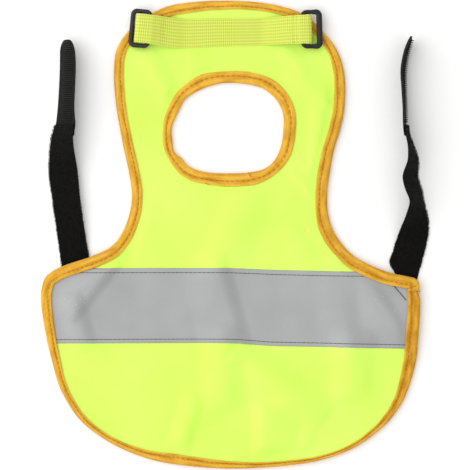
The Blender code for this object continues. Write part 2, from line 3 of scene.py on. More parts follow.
import bpy
import numpy as np
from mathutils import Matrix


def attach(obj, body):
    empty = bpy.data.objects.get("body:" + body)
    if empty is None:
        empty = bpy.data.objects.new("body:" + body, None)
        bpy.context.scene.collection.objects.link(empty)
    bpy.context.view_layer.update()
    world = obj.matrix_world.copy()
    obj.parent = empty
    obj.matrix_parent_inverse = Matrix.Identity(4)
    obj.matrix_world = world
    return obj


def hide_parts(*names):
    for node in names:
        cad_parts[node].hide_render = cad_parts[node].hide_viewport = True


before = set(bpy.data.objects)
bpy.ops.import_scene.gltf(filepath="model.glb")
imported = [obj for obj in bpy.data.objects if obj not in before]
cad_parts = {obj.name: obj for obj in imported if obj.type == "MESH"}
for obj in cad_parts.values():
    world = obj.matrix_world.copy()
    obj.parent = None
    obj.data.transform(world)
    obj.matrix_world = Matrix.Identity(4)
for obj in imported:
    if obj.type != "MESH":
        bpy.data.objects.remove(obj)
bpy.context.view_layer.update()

# Chicken safety vest, laid flat. Sizes are in millimetres in this script and become metres in the meshes.
mm = 0.001
print("frame loaded:", ", ".join(sorted(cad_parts)))


# small curve tools

def ease(share):
    # smooth step from 0 to 1
    share = np.clip(share, 0.0, 1.0)
    return share * share * (3.0 - 2.0 * share)


def unit(vectors):
    # each vector over its own length
    return vectors / np.linalg.norm(vectors, axis=-1, keepdims=True)


def turnedRight(vectors):
    # a quarter turn clockwise: (x, y) becomes (y, -x)
    return np.stack((vectors[..., 1], -vectors[..., 0]), axis=-1)


def readRows(rows, at):
    # every column of a table at the values of its first column, on the smooth curve through its rows
    table = np.array(sorted(rows), dtype=float)
    knots, values = table[:, 0], table[:, 1:]
    return throughPoints(knots, values, np.asarray(at, dtype=float))


def throughPoints(knots, values, at):
    # cubic between two knots whose slopes are the mean slopes of the neighbouring chords
    chords = np.diff(values, axis=0) / np.diff(knots)[:, None]
    before, after = np.diff(knots)[:-1, None], np.diff(knots)[1:, None]
    middle = (chords[:-1] * after + chords[1:] * before) / (before + after)
    slopes = np.vstack((chords[:1], middle, chords[-1:]))
    span = np.clip(np.searchsorted(knots, at, side="right") - 1, 0, len(knots) - 2)
    length = (knots[span + 1] - knots[span])[..., None]
    t = (at - knots[span])[..., None] / length
    start = (1 + 2 * t) * (1 - t) ** 2 * values[span] + t * (1 - t) ** 2 * length * slopes[span]
    end = t * t * (3 - 2 * t) * values[span + 1] + t * t * (t - 1) * length * slopes[span + 1]
    return start + end


def evenPath(points, spacing):
    # points at an even spacing along the smooth curve through the given ones
    points = np.array(points, dtype=float)
    gaps = np.linalg.norm(np.diff(points, axis=0), axis=1)
    knots = np.concatenate(([0.0], np.cumsum(np.sqrt(gaps))))
    fine = throughPoints(knots, points, np.linspace(0.0, knots[-1], 60 * len(points)))
    run = runAlong(fine)
    at = np.linspace(0.0, run[-1], int(round(run[-1] / spacing)) + 1)
    return along(at, run, fine)


def runAlong(path):
    # distance from the start of a path to each of its points
    return np.concatenate(([0.0], np.cumsum(np.linalg.norm(np.diff(path, axis=0), axis=1))))


def along(at, run, values):
    # each column of values read at distances along a path
    return np.stack([np.interp(at, run, column) for column in values.T], axis=-1)


def wander(at, seed, wave):
    # uneven waviness between about -1 and 1: four sines near one wavelength with seeded phases
    draw = np.random.default_rng(seed)
    waves = wave * draw.uniform(0.6, 1.9, 4)
    phases = draw.uniform(0.0, 2 * pi, 4)
    return np.sin(2 * pi * np.asarray(at)[..., None] / waves + phases).sum(-1) / 2.4


def nearLine(points, line, closed=False):
    # distance from each point to the nearest stretch of a line, a block of points at a time
    starts = line if closed else line[:-1]
    runs = (np.roll(line, -1, axis=0) if closed else line[1:]) - starts
    found = []
    for block in np.array_split(points, max(1, len(points) // 4000)):
        gap = block[:, None, :] - starts
        share = np.clip((gap * runs).sum(2) / (runs * runs).sum(1), 0.0, 1.0)
        found.append(np.sqrt(((gap - share[..., None] * runs) ** 2).sum(2).min(1)))
    return np.concatenate(found)


def insideLoop(points, loop):
    # a level line from an inside point to the right crosses the loop an odd number of times
    a, b = loop, np.roll(loop, -1, axis=0)
    x, y = points[:, :1], points[:, 1:]
    spans = (a[:, 1] > y) != (b[:, 1] > y)
    crossing = a[:, 0] + (y - a[:, 1]) * (b[:, 0] - a[:, 0]) / (b[:, 1] - a[:, 1] + 1e-9)
    return (spans & (x < crossing)).sum(1) % 2 == 1


# meshes

def putMesh(name, points, faceArrays, finish, corners=None, values=None):
    # points in mm, faces as arrays of point numbers; a closed mesh whose volume is negative is turned round
    points = np.asarray(points, dtype=float).reshape(-1, 3)
    first = faceArrays[0]
    a, b, c = points[first[:, 0]], points[first[:, 1]], points[first[:, 2]]
    d = points[first[:, -1]]
    volume = (a * np.cross(b, c)).sum() + (a * np.cross(c, d)).sum()
    if corners is not None and volume < 0:
        faceArrays = [faces[:, ::-1] for faces in faceArrays]
        corners = [uv[:, ::-1] for uv in corners]
    mesh = bpy.data.meshes.new(name)
    faces = [face for part in faceArrays for face in part.tolist()]
    mesh.from_pydata((points * mm).tolist(), [], faces)
    if corners is not None:
        layer = mesh.uv_layers.new(name="cloth")
        layer.data.foreach_set("uv", np.concatenate([uv.reshape(-1) for uv in corners]))
    for key, numbers in (values or {}).items():
        layer = mesh.attributes.new(key, "FLOAT", "POINT")
        layer.data.foreach_set("value", np.asarray(numbers, dtype=np.float32).reshape(-1))
    mesh.materials.append(finish)
    mesh.shade_smooth()
    item = bpy.data.objects.new(name, mesh)
    bpy.context.scene.collection.objects.link(item)
    return item


def skinGrid(points, runRows, runColumns, wrapRows=False):
    # quads of a grid whose columns close into a loop, with their UV corners; rows may close too
    rows, columns = points.shape[:2]
    row = np.arange(rows if wrapRows else rows - 1)[:, None]
    column = np.arange(columns)[None, :]
    nextRow, nextColumn = row + 1, column + 1
    index = [(row, column), (row, nextColumn), (nextRow, nextColumn), (nextRow, column)]
    quads = np.stack([(r % rows) * columns + c % columns for r, c in index], axis=-1).reshape(-1, 4)
    full = np.broadcast_to
    shape = (row.size, columns)
    uv = [np.stack((full(runRows[r], shape), full(runColumns[c], shape)), axis=-1) for r, c in index]
    return quads, np.stack(uv, axis=2).reshape(-1, 4, 2)


def loopSkin(name, points, finish, runRows, runColumns, wrapRows=False, values=None):
    # closed skin: each row of points is a loop round the piece, and each end is one flat face
    rows, columns = points.shape[:2]
    quads, uv = skinGrid(points, runRows, runColumns, wrapRows)
    faces, corners = [quads], [uv]
    if not wrapRows:
        start = np.arange(columns)[None, ::-1]
        end = np.arange(columns)[None, :] + (rows - 1) * columns
        sameRow = [np.full((1, columns), runRows[0]), np.full((1, columns), runRows[-1])]
        faces += [start, end]
        corners += [np.stack((sameRow[0], runColumns[:-1][None, ::-1]), axis=-1)]
        corners += [np.stack((sameRow[1], runColumns[:-1][None, :]), axis=-1)]
    return putMesh(name, points, faces, finish, corners, values)


def bandSkin(name, middle, normals, half, finish, runRows, width, reliefs=(0.0, 0.0), rounding=8.0):
    # flat band: middle surface moved out by half the wall plus relief on each face, both faded to nothing
    # at the band's two edges by (1 - |2 share - 1| ^ rounding) ^ 0.5
    columns = middle.shape[1]
    share = np.linspace(0.0, 1.0, columns)
    fade = np.sqrt(1.0 - np.abs(2 * share - 1) ** rounding)
    over = middle + normals * ((half + reliefs[0]) * fade)[..., None]
    under = middle - normals * ((half + reliefs[1]) * fade)[..., None]
    points = np.concatenate((over, under[:, -2:0:-1]), axis=1)
    across = np.concatenate((share, share[-2::-1])) * width
    quads, uv = skinGrid(points, runRows, across)
    rows, loop = points.shape[:2]
    below = np.concatenate(([0], loop - np.arange(1, columns - 1), [columns - 1]))
    one = np.arange(1, columns - 2)
    ends = [one, one + 1, below[one + 1], below[one]]
    cap = np.stack(ends, axis=-1)
    tips = np.array([[0, 1, below[1]], [columns - 1, below[columns - 2], columns - 2]])
    shift = (rows - 1) * loop
    faces = [quads, cap[:, ::-1], cap + shift, tips[:, ::-1], tips + shift]
    flat = [np.zeros((len(part), part.shape[1], 2)) for part in faces[1:]]
    relief = np.broadcast_to(reliefs[0], middle.shape[:2])
    back = np.broadcast_to(reliefs[1], middle.shape[:2])
    # the relief is kept on the points too, for finishes that paint shade into its low parts and highlight
    # onto its high parts
    values = {"relief": np.concatenate((relief, back[:, -2:0:-1]), axis=1)}
    return putMesh(name, points, faces, finish, [uv] + flat, values)


def tubeBundle(name, paths, radius, finish, sides=6, aside=None, taper=None):
    # many short tubes in one mesh: a ring of points round each place of each path, capped at both ends
    count, stations = paths.shape[:2]
    tangent = unit(np.gradient(paths, axis=1))
    if aside is None:
        aside = np.cross(tangent, np.array((0.0, 0.0, 1.0)))
    else:
        aside = aside[:, None, :] + 0 * tangent
    side = unit(aside)
    normal = np.cross(side, tangent)
    angle = (np.arange(sides) * 2 * pi / sides)[:, None]
    taper = np.ones(stations) if taper is None else np.asarray(taper)
    radii = (np.broadcast_to(radius, (count,))[:, None] * taper)[:, :, None, None]
    ring = np.cos(angle) * side[:, :, None, :] + np.sin(angle) * normal[:, :, None, :]
    points = paths[:, :, None, :] + radii * ring
    station, turn = np.arange(stations - 1)[:, None], np.arange(sides)[None, :]
    follow = (turn + 1) % sides
    quad = np.stack([station * sides + turn, station * sides + follow,
                     (station + 1) * sides + follow, (station + 1) * sides + turn], axis=-1).reshape(-1, 4)
    start = (np.arange(count) * stations * sides)[:, None, None]
    quads = (quad + start).reshape(-1, 4)
    first = np.arange(sides)[None, ::-1] + start[:, 0]
    last = np.arange(sides)[None, :] + (stations - 1) * sides + start[:, 0]
    faces = [quads, first, last]
    corners = [np.zeros((len(part), part.shape[1], 2)) for part in faces]
    return putMesh(name, points, faces, finish, corners)


def stitchRow(place, centres, half, arch, sink=0.05, stations=5):
    # each stitch is a low arch: place(run) raised by arch * (1 - t ^ 4) with t from -1 to 1 over its length
    t = np.linspace(-1.0, 1.0, stations)
    points = place(centres[:, None] + half * t)
    points[..., 2] += arch * (1.0 - t ** 4) - sink
    return points


def dress(item, body, replaces=None):
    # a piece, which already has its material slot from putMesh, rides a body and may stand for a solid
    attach(item, body)
    if replaces:
        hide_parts(replaces)
    return item


def thicken(item, thickness):
    # a wall below an open sheet
    wall = item.modifiers.new("wall", "SOLIDIFY")
    wall.thickness = thickness * mm
    wall.offset = -1.0
    return item


# materials

def linear(hexColour):
    # sRGB hex to linear RGBA
    channels = [int(hexColour[i:i + 2], 16) / 255 for i in (1, 3, 5)]
    return (*[c / 12.92 if c <= 0.04045 else ((c + 0.055) / 1.055) ** 2.4 for c in channels], 1.0)


def addNode(tree, kind, inputs=None, **settings):
    # one node with its settings; an input that is an output socket is linked
    node = tree.nodes.new(kind)
    for key, value in settings.items():
        setattr(node, key, value)
    for key, value in (inputs or {}).items():
        if isinstance(value, bpy.types.NodeSocket):
            tree.links.new(value, node.inputs[key])
        else:
            node.inputs[key].default_value = value
    return node


def newFinish(name, roughness, shine, sheen=0.0):
    # a material of its own, with its node tree and its Principled shader
    material = bpy.data.materials.new(name)
    material.use_nodes = True
    shader = material.node_tree.nodes["Principled BSDF"]
    for key, value in (("Roughness", roughness), ("Specular IOR Level", shine), ("Sheen Weight", sheen)):
        shader.inputs[key].default_value = value
    return material, material.node_tree, shader


def waveScale(spacing):
    # a band texture repeats every pi / 10 of its scaled coordinate
    return pi / 10 / spacing


def objectSpace(tree):
    # coordinates in metres
    return addNode(tree, "ShaderNodeTexCoord").outputs["Object"]


def clothSpace(tree):
    # coordinates in mm along and across a band
    return addNode(tree, "ShaderNodeUVMap", uv_map="cloth").outputs["UV"]


def measured(tree, name):
    # a value that the mesh carries
    return addNode(tree, "ShaderNodeAttribute", attribute_name=name).outputs["Fac"]


def noise(tree, where, size, detail):
    # lumps about one size across, in the units of the coordinates
    lumps = {"Vector": where, "Scale": 1 / size, "Detail": detail}
    return addNode(tree, "ShaderNodeTexNoise", lumps).outputs["Fac"]


def reckon(tree, operation, *values):
    # one sum or product of sockets and numbers
    return addNode(tree, "ShaderNodeMath", dict(enumerate(values)), operation=operation).outputs[0]


def spread(tree, factor, low, high):
    # remap a factor so that low becomes 0 and high becomes 1
    limits = {"Value": factor, "From Min": low, "From Max": high}
    return addNode(tree, "ShaderNodeMapRange", limits).outputs[0]


def paint(tree, shader, tone, look):
    # tone 0 is the look's low colour and tone 1 its high one
    ramp = addNode(tree, "ShaderNodeValToRGB", {"Fac": tone})
    ramp.color_ramp.elements[0].color = linear(look["low"])
    ramp.color_ramp.elements[1].color = linear(look["high"])
    tree.links.new(ramp.outputs[0], shader.inputs["Base Color"])


def emboss(tree, shader, height, strength, depth):
    # fine relief with a depth in mm
    bump = addNode(tree, "ShaderNodeBump", {"Height": height, "Strength": strength, "Distance": depth * mm})
    tree.links.new(bump.outputs[0], shader.inputs["Normal"])


# Fluorescent polyester, plain woven: the eye sees a glowing flat yellow-green with a very fine grain.
def fluorescentPolyester():
    # mm, with the threads drawn coarse so that they show
    look = {"low": "#d3fb60", "high": "#dafe6b", "threads": 0.7, "blotch": 55.0}
    material, tree, shader = newFinish("fluorescentPolyester", 0.8, shine=0.25)
    where = objectSpace(tree)
    blotch = noise(tree, where, look["blotch"] * mm, 3.0)
    paint(tree, shader, spread(tree, blotch, 0.35, 0.65), look)
    scale = waveScale(look["threads"] * mm)
    warp = addNode(tree, "ShaderNodeTexWave", {"Vector": where, "Scale": scale}, bands_direction="X")
    weft = addNode(tree, "ShaderNodeTexWave", {"Vector": where, "Scale": scale}, bands_direction="Y")
    emboss(tree, shader, reckon(tree, "ADD", warp.outputs["Fac"], weft.outputs["Fac"]), 0.35, 0.02)
    return material


# Glass-bead reflective tape: in soft light a flat mid grey with a very fine grain and a slight sheen.
def glassBeadTape():
    look = {"low": "#9d9e9e", "high": "#a7a8a8", "bead": 0.45, "blotch": 30.0}
    material, tree, shader = newFinish("glassBeadTape", 0.55, shine=0.4)
    where = objectSpace(tree)
    beads = noise(tree, where, look["bead"] * mm, 2.0)
    blotch = noise(tree, where, look["blotch"] * mm, 2.0)
    paint(tree, shader, spread(tree, reckon(tree, "ADD", beads, blotch), 0.75, 1.25), look)
    emboss(tree, shader, beads, 0.4, 0.03)
    return material


# Amber twill cut on the bias: soft orange cloth with a painted highlight over the fold and painted shade
# along the seam, with fine slanting lines and uneven drag marks along the strip.
def amberTwill():
    look = {"low": "#bd8112", "high": "#e7b33c", "twill": 0.75, "drag": 2.6, "unevenness": 2.3,
            "dragTurn": 0.3, "dragStretch": 0.22}
    material, tree, shader = newFinish("amberTwill", 0.85, shine=0.2, sheen=0.1)
    where = clothSpace(tree)
    stretched = addNode(tree, "ShaderNodeMapping", {"Vector": where, "Rotation": (0.0, 0.0, look["dragTurn"]),
                                                    "Scale": (look["dragStretch"], 1.0, 1.0)})
    drag = noise(tree, stretched.outputs[0], look["drag"], 4.0)
    # the tone attribute brings painted shade and highlight across the strip, and along it partly wear; low is
    # the colour of the deepest painted shade, high that of the painted highlight
    paintedShadeAndWear = reckon(tree, "MULTIPLY_ADD", drag, look["unevenness"], measured(tree, "tone"))
    middle = 0.5 * look["unevenness"]
    paint(tree, shader, spread(tree, paintedShadeAndWear, middle, 1 + middle), look)
    slanting = {"Vector": where, "Scale": waveScale(look["twill"]) * 2 ** 0.5}
    twill = addNode(tree, "ShaderNodeTexWave", slanting, bands_direction="DIAGONAL")
    emboss(tree, shader, twill.outputs["Fac"], 0.6, 0.05)
    return material


# Woven elastic: lengthwise ribs with painted shade in their grooves and a painted highlight on their crests
# and raised selvedges, taken from the relief, with short cross threads.
def wovenElastic():
    look = {"low": "#b3be44", "high": "#e0ed6a", "yarn": 5 / 11}
    material, tree, shader = newFinish("wovenElastic", 0.8, shine=0.25)
    # the relief sets the colour: painted shade in low parts, painted highlight on high ones
    paint(tree, shader, spread(tree, measured(tree, "relief"), -0.16, 0.14), look)
    emboss(tree, shader, noise(tree, clothSpace(tree), look["yarn"], 3.0), 0.4, 0.06)
    return material


# Moulded acetal: smooth black plastic with a satin surface, faintly mottled by the mould.
def mouldedAcetal():
    look = {"low": "#111113", "high": "#1a1a1d", "mottle": 1.6}
    material, tree, shader = newFinish("mouldedAcetal", 0.42, shine=0.4)
    mottle = noise(tree, objectSpace(tree), look["mottle"] * mm, 3.0)
    paint(tree, shader, spread(tree, mottle, 0.3, 0.7), look)
    emboss(tree, shader, mottle, 0.3, 0.04)
    return material


# Brushed nylon loop: matt black that swallows light, mottled where the pile leans different ways.
def brushedLoopNylon():
    look = {"low": "#080807", "high": "#151412", "tuft": 1.1}
    material, tree, shader = newFinish("brushedLoopNylon", 0.95, shine=0.08, sheen=0.05)
    tuft = noise(tree, objectSpace(tree), look["tuft"] * mm, 4.0)
    paint(tree, shader, spread(tree, tuft, 0.35, 0.7), look)
    emboss(tree, shader, tuft, 0.8, 0.25)
    return material


# Woven nylon hook tape: dark grey ground with a slight shine, with painted shade between its cross ribs and a
# painted highlight on the ribs and raised selvedges.
def wovenHookNylon():
    look = {"low": "#040404", "high": "#131312", "threads": 0.67, "yarn": 10 / 9, "reliefShading": 3.0}
    material, tree, shader = newFinish("wovenHookNylon", 0.65, shine=0.15)
    where = clothSpace(tree)
    threads = addNode(tree, "ShaderNodeTexWave", {"Vector": where, "Scale": waveScale(look["threads"]),
                                                  "Distortion": 0.6}, bands_direction="X")
    yarn = noise(tree, where, look["yarn"], 3.0)
    # the relief, weighted up, paints shade between the ribs and highlight on them and on the selvedges; the
    # yarn noise is the weave's own grain
    ribShadeAndYarn = reckon(tree, "MULTIPLY_ADD", measured(tree, "relief"), look["reliefShading"], yarn)
    paint(tree, shader, spread(tree, ribShadeAndYarn, 0.0, 1.4), look)
    emboss(tree, shader, threads.outputs["Fac"], 0.5, 0.08)
    return material


# Twisted polyester sewing thread, one finish for each colour: fine lines of two near tones.
def sewingThread(name, low, high):
    look = {"low": low, "high": high, "strand": 10 / 9}
    material, tree, shader = newFinish(name, 0.6, shine=0.3)
    paint(tree, shader, noise(tree, objectSpace(tree), look["strand"] * mm, 2.0), look)
    return material


# body outline and lie

# heights are y, edges are x, all at the outer fold of the binding
outlineSize = {
    "sections": [    # height, left edge, right edge
        (155.4, -25.3, 11.4), (152.3, -44.9, 30.7), (146.6, -57.1, 46.3), (135.8, -71.1, 58.5),
        (123.1, -79.0, 67.9), (108.5, -80.7, 72.7), (87.1, -79.3, 73.2), (71.1, -76.7, 70.5),
        (56.5, -73.9, 66.0), (41.8, -70.7, 63.3), (26.5, -68.7, 61.5), (13.8, -70.3, 62.1),
        (1.8, -74.9, 66.1), (-7.5, -81.9, 72.5), (-14.2, -94.9, 79.3), (-20.2, -112.9, 90.1),
        (-24.9, -122.3, 102.1), (-28.5, -126.3, 119.0), (-36.9, -129.0, 123.1), (-46.2, -129.1, 123.5),
        (-71.3, -125.1, 122.1), (-83.5, -122.1, 120.9), (-98.9, -117.9, 116.9), (-112.2, -111.5, 111.3),
        (-124.5, -102.4, 102.4), (-135.5, -88.4, 89.7), (-143.5, -73.6, 76.7), (-150.5, -53.6, 56.7),
        (-154.2, -31.3, 32.7),
    ],
    "top": (-8.0, 156.1),
    "bottom": (-1.5, -156.0),
    "corner": (122.6, -29.3),    # where the two ends of the long binding meet
}
neckSize = {
    "centre": (-4.1, 71.1), "halfWidth": 37.4, "rise": 30.0, "drop": 30.8, "above": 2.1, "below": 2.5,
    "edges": [    # degrees round the oval, how far outside it the fold and the binding's outer edge are
        (0, -1.0, 7.2), (16, 0.3, 8.4), (32, 1.3, 9.5), (44, 1.6, 9.9), (56, 1.8, 9.8), (64, 1.2, 9.4),
        (80, 0.3, 8.3), (96, 0.1, 7.8), (112, -0.6, 8.3), (128, -0.6, 7.4), (144, -0.5, 6.5),
        (152, -1.3, 5.8), (168, -0.9, 6.1), (180, 0.7, 6.5), (192, 0.9, 7.2), (204, 1.8, 7.3),
        (216, -0.2, 7.5), (228, 0.7, 8.3), (240, 0.4, 8.4), (256, -0.3, 7.6), (272, -0.6, 8.2),
        (288, -0.2, 8.4), (304, 0.7, 7.8), (320, 0.1, 7.2), (336, -0.9, 7.0), (348, -1.2, 6.9),
    ],
}


def bodyPath(spacing):
    # clockwise from the right corner: down the right side, along the hem, up the left and over the top
    size = outlineSize
    below = [row for row in size["sections"] if row[0] < size["corner"][1]]
    above = [row for row in size["sections"] if row[0] >= size["corner"][1]]
    points = [size["corner"]] + [(row[2], row[0]) for row in below] + [size["bottom"]]
    points += [(row[1], row[0]) for row in below[::-1]] + [(row[1], row[0]) for row in above[::-1]]
    points += [size["top"]] + [(row[2], row[0]) for row in above] + [size["corner"]]
    return evenPath(points, spacing)


def neckPath(count, edge=0):
    # oval x = cos ^ (2 / power), y = sin ^ (2 / power), squarer below its middle than above, moved out to
    # the fold (edge 0) or to the outer edge (edge 1) of the binding
    size = neckSize
    angle = np.linspace(0.0, 2 * pi, count, endpoint=False)
    across, up = np.cos(angle), np.sin(angle)
    power = np.where(up >= 0, size["above"], size["below"])
    reach = np.where(up >= 0, size["rise"], size["drop"])
    x = np.sign(across) * np.abs(across) ** (2 / power) * size["halfWidth"]
    y = np.sign(up) * np.abs(up) ** (2 / power) * reach
    oval = np.stack((x + size["centre"][0], y + size["centre"][1]), axis=-1)
    outward = turnedRight(unit(np.roll(oval, -1, axis=0) - np.roll(oval, 1, axis=0)))
    rows = [(degrees + turn, fold, outer)
            for turn in (-360, 0, 360) for degrees, fold, outer in size["edges"]]
    away = readRows(rows, np.degrees(angle))[:, edge]
    return oval + outward * away[:, None]


outline = bodyPath(4.0)[:-1]
neckLine = neckPath(72)

lieSize = {
    "edgeLift": 1.3,             # height inside the folded bindings
    "middleLift": 1.7,           # height away from them
    "levelFrom": 14.3, "slope": 17.0, "foldFrom": 6.0, "foldSlope": 9.0,
    "clothTop": 0.95,            # upper face over the lie's height
    "strapLift": 1.58, "rootPlateau": 15.0, "rootSlope": 28.0,
    "roots": [(-106.5, -16.0, -101.9, -48.9), (113.9, -18.0, 114.4, -46.9)],
    # soft folds and creases: start x, y, end x, y, half width on the left and right of that way, height
    "folds": [
        # below the tape
        (-10.6, -58.0, -7.5, -119.0, 17.0, 17.0, 4.9), (-26.0, -105.0, -38.0, -147.0, 9.0, 11.0, 2.7),
        (-27.0, -98.0, -19.0, -128.0, 15.0, 11.0, 1.2), (-3.0, -78.0, 61.0, -124.0, 19.0, 14.0, 4.4),
        (80.0, -60.0, 77.0, -112.0, 18.0, 18.0, 4.1), (20.0, -108.0, 20.0, -160.0, 28.0, 11.0, 4.2),
        (48.0, -128.0, 46.0, -154.0, 9.0, 6.0, 1.2),
        # beside the neck
        (-64.0, 124.0, -37.0, 80.0, 13.0, 9.0, 2.9), (-25.0, 122.0, -29.0, 98.0, 16.0, 9.0, 1.6),
        (32.0, 108.0, 74.0, 82.0, 14.0, 7.0, 2.0), (56.0, 92.0, 54.5, 38.0, 13.0, 8.0, 1.8),
        (30.0, 52.0, 62.0, 15.0, 11.0, 5.0, 1.4), (41.0, 54.0, 65.0, 23.0, 9.0, 5.0, 1.0),
        (29.0, 123.0, 49.0, 109.0, 8.0, 6.0, 1.1),
        # between neck and tape
        (11.0, 40.0, -15.0, -34.0, 22.0, 18.0, 3.3), (-64.0, 28.0, -62.0, -24.0, 20.0, 8.0, 1.3),
        (33.0, 8.0, 57.0, -26.0, 9.0, 14.0, 1.0),
        # under the tape
        (-77.0, -12.0, -113.0, -58.0, 8.0, 20.0, 3.4), (-110.0, -38.0, -98.0, -78.0, 9.0, 14.0, 2.7),
        (-17.0, -8.0, 6.0, -86.0, 11.0, 26.0, 3.7), (69.0, -10.0, 74.0, -88.0, 13.0, 20.0, 2.1),
        (77.0, -14.0, 116.0, -76.0, 8.0, 16.0, 2.1),
    ],
}


def ridges(points, rows):
    # each row is a rounded ridge along a straight line: height * (1 - (away / half width) ^ 2) ^ 2, times
    # 1 - (2 * share - 1) ^ 4 with the share of the way along it, so that its ends run out
    height = np.zeros(len(points))
    for x1, y1, x2, y2, halfLeft, halfRight, rise in rows:
        way = np.array((x2 - x1, y2 - y1))
        gap = points - np.array((x1, y1))
        share = np.clip(gap @ way / (way @ way), 0.0, 1.0)
        away = gap @ turnedRight(way) / np.linalg.norm(way)
        half = np.where(away < 0, halfLeft, halfRight)
        height += rise * (1.0 - (2 * share - 1) ** 4) * np.clip(1.0 - (away / half) ** 2, 0.0, 1.0) ** 2
    return height


def rootLift(points):
    # how far the strap ends sewn underneath hold the cloth up
    size = lieSize
    lift = np.zeros(len(points))
    for x1, y1, x2, y2 in size["roots"]:
        away = nearLine(points, np.array([(x1, y1), (x2, y2)]))
        fallen = ease((away - size["rootPlateau"]) / size["rootSlope"])
        lift = np.maximum(lift, size["strapLift"] * (1.0 - fallen))
    return lift


def clothLie(points):
    # level in the bindings and a little higher between them, with the folds away from the edges
    size = lieSize
    points = np.asarray(points).reshape(-1, 2)
    fromEdge = np.minimum(nearLine(points, outline, True), nearLine(points, neckLine, True))
    within = ease((fromEdge - size["levelFrom"]) / size["slope"])
    free = ease((fromEdge - size["foldFrom"]) / size["foldSlope"])
    height = size["edgeLift"] + (size["middleLift"] - size["edgeLift"]) * within
    return height + ridges(points, size["folds"]) * free + rootLift(points)


def depthInside(points, tuck):
    # how far inside the cut line a point is: nothing on the line, which lies tuck inside every fold
    edge = nearLine(points, outline, True) * np.where(insideLoop(points, outline), 1, -1)
    hole = nearLine(points, neckLine, True) * np.where(insideLoop(points, neckLine), -1, 1)
    return np.minimum(edge, hole) - tuck


def ontoCut(points, tuck):
    # two steps along the slope of the depth bring a point onto the cut line
    step = 0.05
    for turn in range(2):
        here = depthInside(points, tuck)
        slope = np.stack([(depthInside(points + move, tuck) - here) / step
                          for move in (np.array((step, 0.0)), np.array((0.0, step)))], axis=1)
        points = points - (here / (slope * slope).sum(1))[:, None] * slope
    return points


def trimmed(places, tuck):
    # grid cells whose middle is inside the cut line, with the points at its border moved onto the line
    rows, columns = places.shape[:2]
    flat = places.reshape(-1, 2).copy()
    depth = depthInside(flat, tuck).reshape(rows, columns)
    kept = depth[:-1, :-1] + depth[1:, :-1] + depth[:-1, 1:] + depth[1:, 1:] > 0
    index = np.arange(rows * columns).reshape(rows, columns)
    quads = np.stack((index[:-1, :-1], index[:-1, 1:], index[1:, 1:], index[1:, :-1]), axis=-1)
    used = np.zeros(rows * columns, dtype=bool)
    used[quads[kept]] = True
    outside = np.zeros(rows * columns, dtype=bool)
    outside[quads[~kept]] = True
    border = used & outside
    flat[border] = ontoCut(flat[border], tuck)
    return flat[used], (np.cumsum(used) - 1)[quads[kept]]


# body panel

bodySize = {"cell": 1.25, "thickness": 0.5, "tuck": 1.7, "area": 0.0519}


def bodyPanel(finish):
    # square grid over the outline, z = lie + upper face
    cell = bodySize["cell"]
    low, high = outline.min(0) - cell, outline.max(0) + cell
    x, y = np.arange(low[0], high[0], cell), np.arange(low[1], high[1], cell)
    flat, quads = trimmed(np.stack(np.meshgrid(x, y), axis=-1), bodySize["tuck"])
    z = clothLie(flat) + lieSize["clothTop"]
    item = putMesh("bodyPanel", np.column_stack((flat, z)), [quads], finish)
    return thicken(item, bodySize["thickness"])


# reflective tape

tapeSize = {
    "rows": [    # x, upper edge, lower edge
        (-134.0, -22.4, -72.5), (-6.0, -22.2, -72.0), (3.0, -22.6, -72.3), (14.0, -23.0, -73.3),
        (24.0, -23.5, -74.1), (62.0, -24.4, -74.8), (130.0, -25.3, -76.3),
    ],
    "cell": 1.25, "thickness": 0.32, "above": 0.42, "tuck": 2.2,
    "seamAbove": 3.0, "seamBelow": 2.5,      # stitch lines inside the two edges
    "upperSeam": (-119.5, 114.0), "lowerSeam": (-122.0, 118.5),    # x from, x to
    "dip": 0.16, "dipHalf": 1.1,             # the seams pull the tape down
    "stitch": 2.8, "pitch": 3.0, "arch": 0.16, "threadRadius": 0.2,
    # seams that hold the straps' ends underneath: start x, y, end x, y; only the one named rootSeam is dark
    "rootLines": [(-118.7, -40.6, -103.1, -47.4), (106.3, -34.5, 114.8, -44.4), (93.7, -45.9, 99.9, -54.0)],
    "rootSeam": 1, "rootDip": 0.3, "rootDipHalf": 0.9, "rootRadius": 0.36,
    "rootStart": 1.2, "rootPitch": 2.4, "rootStitch": 2.3, "dot": 1.4, "dotArch": 0.2,
    "rootDots": [
        (-100.6, -36.5), (-97.9, -38.6), (-93.9, -37.9), (-107.3, -47.5), (-103.3, -48.9), (-99.9, -45.5),
        (-115.6, -42.0), (-112.8, -43.3), (-110.1, -44.5), (-105.2, -46.6), (-103.4, -35.2), (-102.6, -43.0),
        (101.8, -39.5), (106.3, -39.5), (99.1, -41.3), (94.1, -43.5), (107.1, -50.9), (112.5, -49.8),
    ],
}


def tapeEdges(x):
    # heights of the tape's upper and lower edge, straight from row to row
    table = np.array(tapeSize["rows"])
    return np.interp(x, table[:, 0], table[:, 1]), np.interp(x, table[:, 0], table[:, 2])


def tapeTop(points):
    # upper face of the tape: cloth, the tape's height over it, and a dip along both seams
    points = np.asarray(points)
    flat = points.reshape(-1, 2)
    upper, lower = tapeEdges(flat[:, 0])
    inside = upper - tapeSize["seamAbove"] - flat[:, 1], flat[:, 1] - lower - tapeSize["seamBelow"]
    dip = sum(np.exp(-(away / tapeSize["dipHalf"]) ** 2) for away in inside) * tapeSize["dip"]
    for x1, y1, x2, y2 in tapeSize["rootLines"]:
        away = nearLine(flat, np.array([(x1, y1), (x2, y2)]))
        dip = dip + tapeSize["rootDip"] * np.exp(-(away / tapeSize["rootDipHalf"]) ** 2)
    z = clothLie(flat) + lieSize["clothTop"] + tapeSize["above"] - dip
    return z.reshape(points.shape[:-1])


def ontoTape(spots):
    # places in plan with the tape's upper face as their height
    return np.concatenate((spots, tapeTop(spots)[..., None]), axis=-1)


